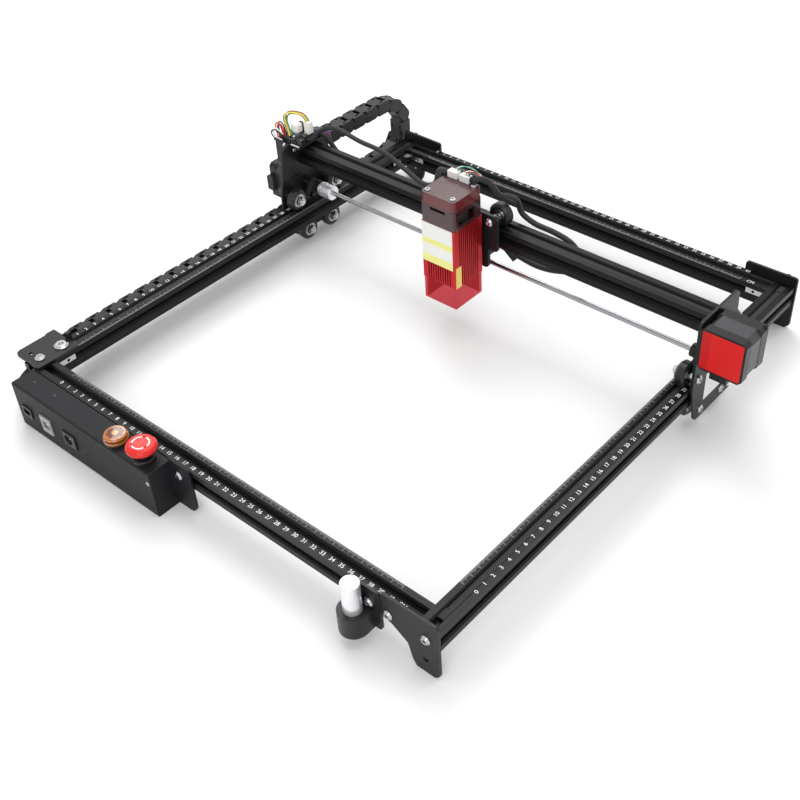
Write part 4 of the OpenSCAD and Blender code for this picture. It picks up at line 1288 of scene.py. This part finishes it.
@dataclass
class BoxTrim:
    """What is on the control box: lid screws, lamps, socket contacts, the buttons' rims and marks."""

    x0: float = -235.55
    front: float = -292.3
    top: float = 50.0
    lid_screws: tuple[float, ...] = (16.3, 46.3)
    lid_screw_y: float = -278.2
    front_screw: tuple[float, float] = (-44.9, 38.0)
    lamps: tuple[tuple[float, float], ...] = ((-136.55, 29.4), (-137.15, 17.0))
    button_y: float = -280.8
    amber_x: float = -96.55
    stop_x: float = -59.55
    stop_top: float = 67.31

    def build(self) -> None:
        """Makes the trim."""
        screws = Piece("box_screws")
        for gap in self.lid_screws:
            place = Facing.UP.place(self.x0 + gap, self.lid_screw_y, self.top - 0.6)
            screws.turned(pan_head(2.4, 0.9), place, 16)
        hand_over(screws.object(DARK_STEEL), "frame", "zinc_steel")
        x, z = self.front_screw
        head = Piece("box_front_screw").turned(pan_head(2.2, 0.6), Facing.FRONT.place(x, self.front, z), 16)
        hand_over(head.object(ZINC), "frame", "zinc_steel")
        lamps = Piece("box_lamps")
        for x, z in self.lamps:
            lamps.turned(pan_head(1.6, 0.35), Facing.FRONT.place(x, self.front, z), 16)
        hand_over(lamps.object(BLACK_PLASTIC), "frame", "black_plastic")
        self.contacts()
        self.buttons()

    def contacts(self) -> None:
        """Makes the tongues and pins inside the sockets."""
        contacts = Piece("socket_contacts")
        contacts.block(at(self.x0 + 42, self.front + 0.5, 21.3), at(self.x0 + 47, self.front + 8, 24.6))
        contacts.block(at(self.x0 + 11, self.front + 1, 22.9), at(self.x0 + 20, self.front + 8, 24.1))
        pin = [(0.0003, -0.009), (0.001, -0.009), (0.001, -0.0012), (0.0007, -0.0006), (0.0003, -0.0006)]
        contacts.turned(pin, Facing.FRONT.place(self.x0 + 78, self.front - 0.4, 24.2), 12)
        hand_over(contacts.object(WHITE_PLASTIC), "frame", "white_plastic")

    def buttons(self) -> None:
        """Makes the amber button's rim and the red button's ring of arrows."""
        rim = Piece("amber_rim")
        shape = ((7.2, 0.0), (11, 0.0), (11, 1.5), (10.8, 2.2), (10.45, 2.2), (10.4, 0.12))
        rim.turned([(r * MM, h * MM) for r, h in shape],
                   Facing.UP.place(self.amber_x, self.button_y, self.top + 2.5), 40)
        hand_over(rim.object(AMBER), "frame", "amber_plastic")
        ring = Piece("stop_ring")
        place = Facing.UP.place(self.stop_x, self.button_y, self.stop_top)
        band = [(6.65 * MM, 0.0), (7.95 * MM, 0.0), (7.95 * MM, 0.0007), (6.65 * MM, 0.0007)]
        for k in range(3):
            ring.turned(band, place, 14, (120 * k + 8, 120 * k + 88))
            tip = []
            for r, a in ((6.1, 88), (8.5, 88), (7.3, 104)):
                turn = math.radians(120 * k + a)
                tip.append((r * MM * math.cos(turn), r * MM * math.sin(turn)))
            ring.prism(tip, place, 0.0006, 0.00085)
        hand_over(ring.object(WHITE_PLASTIC), "stop_cap", "white_plastic")


@dataclass
class GantryTrim:
    """What is on the gantry: stickers, panel, motor leads, plugs and the adapter board's wiring."""

    lead: float = 0.0008
    stickers: tuple[Sticker, ...] = (
        Sticker("plate_sticker", "gantry", "white_plastic", STICKER, Facing.RIGHT, (254.3, 108.6, 41.5),
                0.030, 0.030, 0.001),
        Sticker("motor_panel", "gantry", "red_plastic", RED_PANEL, Facing.FRONT, (277.55, 66.35, 104),
                0.0382, 0.0382, 0.0012),
    )
    plug_boxes: tuple[tuple[Point, Point, float], ...] = (
        ((254.4, 129, 22), (260.6, 137.5, 30), 0.0005),
        ((-258, 97, 128), (-248, 106, 138), 0.0012),
        ((-245, 104, 127.2), (-238, 112, 141), 0.0008),
    )
    mark_boxes: tuple[tuple[Point, Point, float], ...] = (
        ((-263, 91.5, 126.6), (-260.5, 94, 126.9), 0.0001),
        ((-251.5, 92.5, 126.6), (-249, 95, 126.9), 0.0001),
        ((-250, 87.2, 119.6), (-238, 89.4, 119.9), 0.0001),
    )
    right_head: Point = (254.3, 141, 90.2)
    left_x: float = -251.8
    left_heads: tuple[Point, ...] = (
        (93.3, 110.8, 2.6), (100.2, 96.2, 2.6), (78.4, 61, 2.2), (80.3, 122, 2.2))

    def build(self) -> None:
        """Makes the trim."""
        for sticker in self.stickers:
            sticker.build()
        self.boxes("wire_plugs", self.plug_boxes, WHITE_PLASTIC)
        self.boxes("board_marks", self.mark_boxes, STICKER)
        self.screws()
        self.coupling()
        self.wiring()

    @staticmethod
    def boxes(name: str, boxes: Sequence[tuple[Point, Point, float]], finish: Finish) -> None:
        """Makes a piece of small boxes.

        Args:
            name: Name of the piece.
            boxes: Lowest corner, highest corner and edge cut of each.
            finish: Its finish.
        """
        piece = Piece(name)
        for low, high, cut in boxes:
            piece.block(at(*low), at(*high), cut)
        hand_over(piece.object(finish), "gantry", "white_plastic")

    def screws(self) -> None:
        """Makes the small button heads on the two end plates."""
        heads = Piece("end_plate_screws")
        heads.turned(pan_head(4.3, 2.3), Facing.RIGHT.place(*self.right_head), 24)
        for y, z, radius in self.left_heads:
            heads.turned(pan_head(radius, 1.5), Facing.RIGHT.place(self.left_x, y, z), 20)
        hand_over(heads.object(ZINC), "gantry", "zinc_steel")

    def coupling(self) -> None:
        """Makes the slit coupling between the motor's shaft and the long shaft, with its clamp screws."""
        body = Piece("coupling_body")
        place = Facing.RIGHT.place(-230.4, 107.2, 64.5)
        outer, slit, bore, length = 7.8, 6.6, 2.6, 18
        outline = [(bore, 0), (7.2, 0), (outer, 0.6)]
        for z in (5.6, 8.7, 11.8):
            outline += [(outer, z), (slit, z + 0.1), (slit, z + 0.7), (outer, z + 0.8)]
        outline += [(outer, 17.4), (7.2, length), (bore, length)]
        body.turned([(r * MM, h * MM) for r, h in outline], place, 40)
        side = Matrix.Rotation(math.pi / 2, 4, "Y") @ Matrix.Translation((0, 0, 7.6 * MM))
        for distance in (3, 15.2):
            for turn in (40, 130):
                level = Matrix.Translation((0, 0, distance * MM))
                face = place @ Matrix.Rotation(math.radians(turn), 4, "Z") @ level @ side
                body.turned(pan_head(1.5, 0.5), face, 14)
        hand_over(body.object(COUPLING), "drive", "coupling_metal", "shaft_coupling")

    def wiring(self) -> None:
        """Makes the coloured leads, one piece for each colour."""
        bundle = [(-241, 108, 140), (-246, 106, 147), (-253, 101, 150), (-260, 97, 149), (-262, 95, 143),
                  (-258, 94, 133), (-255, 93, 126)]
        loop = [(-262, 90, 126), (-265, 90, 135), (-270, 90, 138), (-272, 89, 133), (-268, 88, 119)]
        low_loop = [(-264, 87, 119), (-270, 84, 123), (-273, 83, 129), (-269, 85, 132), (-263, 88, 126)]
        exit_run = [(-240, 120, 126), (-235, 123, 128), (-233, 127, 121), (-238, 133, 112)]
        plug_run = [(257, 133, 29), (262, 127, 42), (270, 106, 59), (276, 83, 68), (277, 71, 76)]

        runs = {
            Wire.YELLOW: [bundle, moved(bundle, 0.8, -1.5, 0.6)],
            Wire.BROWN: [moved(bundle, -0.3, 1.6, 0.8)],
            Wire.BLACK: [moved(bundle, -1.8, -0.4, -0.8), low_loop, moved(loop, 2.6, 2, 1.2)],
            Wire.GREEN: [moved(bundle, 1.4, 1.2, -1.4)],
            Wire.RED: [loop, moved(loop, 1.2, 1.6, -1.5), exit_run],
            Wire.WHITE: [moved(low_loop, 1, 1.4, 1.2)],
            Wire.BLUE: [moved(exit_run, 0.2, 1.8, 0.2), plug_run],
            Wire.PURPLE: [moved(exit_run, -0.4, -1.8, 0.4), moved(plug_run, 0.4, -1.6, 1.2)],
        }
        for made in leads("gantry", runs, self.lead):
            hand_over(made, "gantry", "cable_jacket")


@dataclass
class LaserTrim:
    """What is on the laser module: labels, fan, cover screws and the leads at its plugs."""

    lead: float = 0.0005
    stickers: tuple[Sticker, ...] = (
        Sticker("front_label", "laser", "white_plastic", LABEL, Facing.FRONT, (-9.05, 42.2, 112),
                0.037, 0.043, 0.0008),
        Sticker("side_patch", "laser", "amber_plastic", YELLOW, Facing.RIGHT, (12.45, 46.8, 82.5),
                0.008, 0.023, 0.0006),
    )
    fan_middle: Point = (-7.55, 62.2, 136)
    blades: int = 7
    cover_top: float = 165.0
    cover_screws: tuple[tuple[float, float], ...] = ((-22.55, 47.2), (7.45, 47.2), (7.45, 77.2))

    def build(self) -> None:
        """Makes the trim."""
        for sticker in self.stickers:
            sticker.build()
        self.fan()
        self.leads()
        self.screws()

    def fan(self) -> None:
        """Makes the fan inside the cap."""
        fan = Piece("cap_fan")
        place = Facing.UP.place(*self.fan_middle)
        fan.turned([(0.0002, 0.0), (0.008, 0.0), (0.008, 0.007), (0.007, 0.008), (0.0002, 0.008)], place, 24)
        fan.turned([(0.0155, 0.0), (0.0168, 0.0), (0.0168, 0.010), (0.0155, 0.010)], place, 32)
        blade = [(0.0078, -0.0035), (0.015, -0.0055), (0.015, 0.0045), (0.0078, 0.0035)]
        middle = place @ Matrix.Translation((0, 0, 0.0042))
        for k in range(self.blades):
            turn = Matrix.Rotation(2 * math.pi * k / self.blades, 4, "Z") @ Matrix.Rotation(0.6, 4, "X")
            fan.prism(blade, middle @ turn, -0.0003, 0.0003)
        hand_over(fan.object(BLACK_PLASTIC), "laser", "black_plastic")

    def leads(self) -> None:
        """Makes the leads that rise from the plugs and arch over to the sleeve."""
        runs = {
            Wire.WHITE: [[(-17, 81, 171), (-15, 82.5, 174.5), (-10, 85, 176), (-3, 87, 175.5), (6, 88, 172),
                          (11, 86.5, 169.5)],
                         [(-6, 80, 171), (-4, 80, 174.5), (1, 81.5, 176.4), (7, 83.5, 174), (10.5, 85, 171)]],
            Wire.GREEN: [[(-15, 81, 171), (-12, 83.5, 175.3), (-5, 86.5, 176.4), (3, 87.5, 174),
                          (10, 86.5, 169.5)],
                         [(-2.5, 80, 171), (0, 82, 173.5), (5, 85.5, 172.5), (10.5, 86, 169.5)]],
            Wire.RED: [[(-4, 80, 171), (-1.5, 79.5, 175.3), (4, 81, 176.6), (9.5, 83.5, 174),
                        (11.5, 85.5, 170.5)]],
            Wire.BLACK: [[(-0.5, 80, 171), (1.5, 80.5, 174), (6, 82.5, 174), (10, 85, 170.5)]],
        }
        for made in leads("laser", runs, self.lead):
            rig.slot(made, "cable_jacket")
            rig.blend(made, "laser", "carriage", at(*PLUG_END), at(*BEND_END))
            LOG.info("%s bends between laser and carriage", made.name)

    def screws(self) -> None:
        """Makes the pan heads in three of the cover's corners."""
        heads = Piece("cover_screws")
        for x, y in self.cover_screws:
            heads.turned(pan_head(2.95, 1.65), Facing.UP.place(x, y, self.cover_top), 20)
        hand_over(heads.object(ZINC), "laser", "zinc_steel")


@dataclass
class WheelFaces:
    """Steel bearings in the wheels' faces, each riding its wheel's body."""

    track: float = 240.75
    gantry_y: float = 107.2

    def build(self) -> None:
        """Makes one piece for each body of wheels."""
        pairs = {"wheels_a": (-28.7, 60.4), "wheels_b": (28.7, 60.4),
                 "wheels_c": (-18.0, 19.6), "wheels_d": (18.0, 19.6)}
        for body, (dy, z) in pairs.items():
            piece = Piece(f"{body}_bearings")
            for side in (-1, 1):
                self.bearing(piece, Facing.RIGHT.place(side * self.track, self.gantry_y + dy, z))
            hand_over(piece.object(ZINC), body, "zinc_steel")
        singles = {"wheel_left": (-31.55, 124.4), "wheel_right": (16.45, 124.4), "wheel_under": (-7.55, 83.6)}
        for body, (x, z) in singles.items():
            piece = Piece(f"{body}_bearings")
            self.bearing(piece, Facing.FRONT.place(x, self.gantry_y, z))
            hand_over(piece.object(ZINC), body, "zinc_steel")

    @staticmethod
    def bearing(piece: Piece, place: Matrix) -> None:
        """Adds the outer ring, the seal and the inner ring of both faces.

        Args:
            piece: The mesh.
            place: The wheel's plane.
        """
        foot = 4.12
        for side in (-1, 1):
            for low, high, reach in ((6.6, 7.4, 4.75), (5.9, 6.5, 4.4), (5.1, 5.8, 4.65)):
                ring = ((low, foot), (high, foot), (high, reach), (low, reach))
                section = [(r * MM, side * h * MM) for r, h in ring]
                piece.turned(section if side > 0 else section[::-1], place, 28)


@dataclass
class BoxLeads:
    """Coloured leads beside the sleeve at the control box's left end."""

    radius: float = 0.0006

    def build(self) -> None:
        """Makes the leads."""
        runs = {
            Wire.RED: [[(-235.6, -276, 20), (-243, -275.5, 17), (-252, -273, 19), (-262, -263, 26)]],
            Wire.BLUE: [[(-235.6, -277.5, 18.5), (-244, -277, 15), (-254, -274, 18), (-266, -262, 27)]],
            Wire.WHITE: [[(-235.6, -282.5, 21), (-243, -284, 18), (-253, -281, 20), (-266.5, -268, 27)]],
        }
        for made in leads("box", runs, self.radius):
            hand_over(made, "frame", "cable_jacket")


@dataclass(frozen=True)
class Lamp:
    """A soft box of the studio."""

    name: str
    place: Point
    aim: Point
    size: float
    power: float

    def build(self) -> None:
        """Adds the lamp."""
        data = bpy.data.lights.new(self.name, "AREA")
        data.shape = "SQUARE"
        data.size = self.size
        data.energy = self.power
        lamp = link(self.name, data)
        lamp.location = self.place
        lamp.rotation_euler = (Vector(self.aim) - Vector(self.place)).to_track_quat("-Z", "Y").to_euler()


@dataclass
class Studio:
    """Camera, floor, background and soft boxes."""

    eye: Point = (0.595325, -0.643493, 0.716200)
    turn: Point = (0.860206, 0.033936, 0.701680)
    lens: float = 52.6
    shift: tuple[float, float] = (-0.0444, -0.0010)
    backdrop: Colour = (1.0, 1.0, 1.0)
    fill: float = 0.75
    floor_reach: float = 6.0
    paint: tuple[Colour, Colour] = ((0.86, 0.86, 0.86), (0.88, 0.88, 0.88))
    lamps: tuple[Lamp, ...] = (
        Lamp("key_box", (-1.1, 0.9, 1.9), (0, 0, 0), 1.4, 26.0),
        Lamp("front_box", (0.9, -1.7, 1.3), (0, 0, 0.05), 1.2, 12.0),
        Lamp("top_box", (0.3, 0.1, 2.2), (0, 0, 0), 1.6, 14.0),
    )

    def build(self) -> None:
        """Sets up the studio."""
        self.camera()
        self.floor()
        self.background()
        for lamp in self.lamps:
            lamp.build()
        bpy.context.scene.view_settings.view_transform = "Standard"
        LOG.info("studio ready")

    def camera(self) -> None:
        """Adds the camera."""
        data = bpy.data.cameras.new("camera")
        data.lens = self.lens
        data.sensor_width = 36.0
        data.shift_x, data.shift_y = self.shift
        data.clip_start = 0.01
        eye = link("camera", data)
        eye.location = self.eye
        eye.rotation_euler = self.turn
        bpy.context.scene.camera = eye

    def floor(self) -> None:
        """Adds the pale floor, with a faint mottle in its paint."""
        mesh = bpy.data.meshes.new("floor")
        s = self.floor_reach
        mesh.from_pydata([(-s, -s, 0), (s, -s, 0), (s, s, 0), (-s, s, 0)], [], [(0, 1, 2, 3)])
        mat = bpy.data.materials.new("floor_paint")
        mat.use_nodes = True
        t = Tree(mat.node_tree)
        shader = next(n for n in mat.node_tree.nodes if n.type == "BSDF_PRINCIPLED")
        shader.inputs["Roughness"].default_value = 0.9
        noise = t.add("ShaderNodeTexNoise", {"Scale": 3.0, "Detail": 2.0})
        t.join(t.mix(noise.outputs["Fac"], *self.paint), shader.inputs["Base Color"])
        mesh.materials.append(mat)
        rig.stage(link("floor", mesh))

    def background(self) -> None:
        """Makes the world white to the camera and a softer white as light."""
        world = bpy.data.worlds.new("studio")
        bpy.context.scene.world = world
        world.use_nodes = True
        world.node_tree.nodes.clear()
        t = Tree(world.node_tree)
        out = t.add("ShaderNodeOutputWorld")
        light = t.add("ShaderNodeBackground", {"Color": (*self.backdrop, 1.0), "Strength": self.fill})
        seen = t.add("ShaderNodeBackground", {"Color": (*self.backdrop, 1.0), "Strength": 1.0})
        rays = t.add("ShaderNodeLightPath")
        mixed = t.add("ShaderNodeMixShader")
        seen_by = rays.outputs["Is Camera Ray"]
        for kind in ("Is Transmission Ray", "Is Glossy Ray"):
            seen_by = t.maths("ADD", seen_by, rays.outputs[kind], clamp=True)
        t.join(seen_by, mixed.inputs[0])
        t.join(light.outputs[0], mixed.inputs[1])
        t.join(seen.outputs[0], mixed.inputs[2])
        t.join(mixed.outputs[0], out.inputs[0])


def main() -> None:
    """Builds the looks in order and logs each piece."""
    logging.basicConfig(level=logging.INFO, format="%(message)s")
    cad_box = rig.bounds()
    Studio().build()
    Cables().build()
    CarriedFinishes().apply()
    ChainSkins().build()
    for assembly in (Rulers(), BoxTrim(), BoxLeads(), GantryTrim(), LaserTrim(), WheelFaces()):
        assembly.build()
        LOG.info("%s done", type(assembly).__name__)
    with open("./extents.json", "w", encoding="utf-8") as out:
        json.dump({"cad": [list(v) for v in cad_box], "visual": [list(v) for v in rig.bounds()]}, out)


if __name__ == "__main__":
    main()
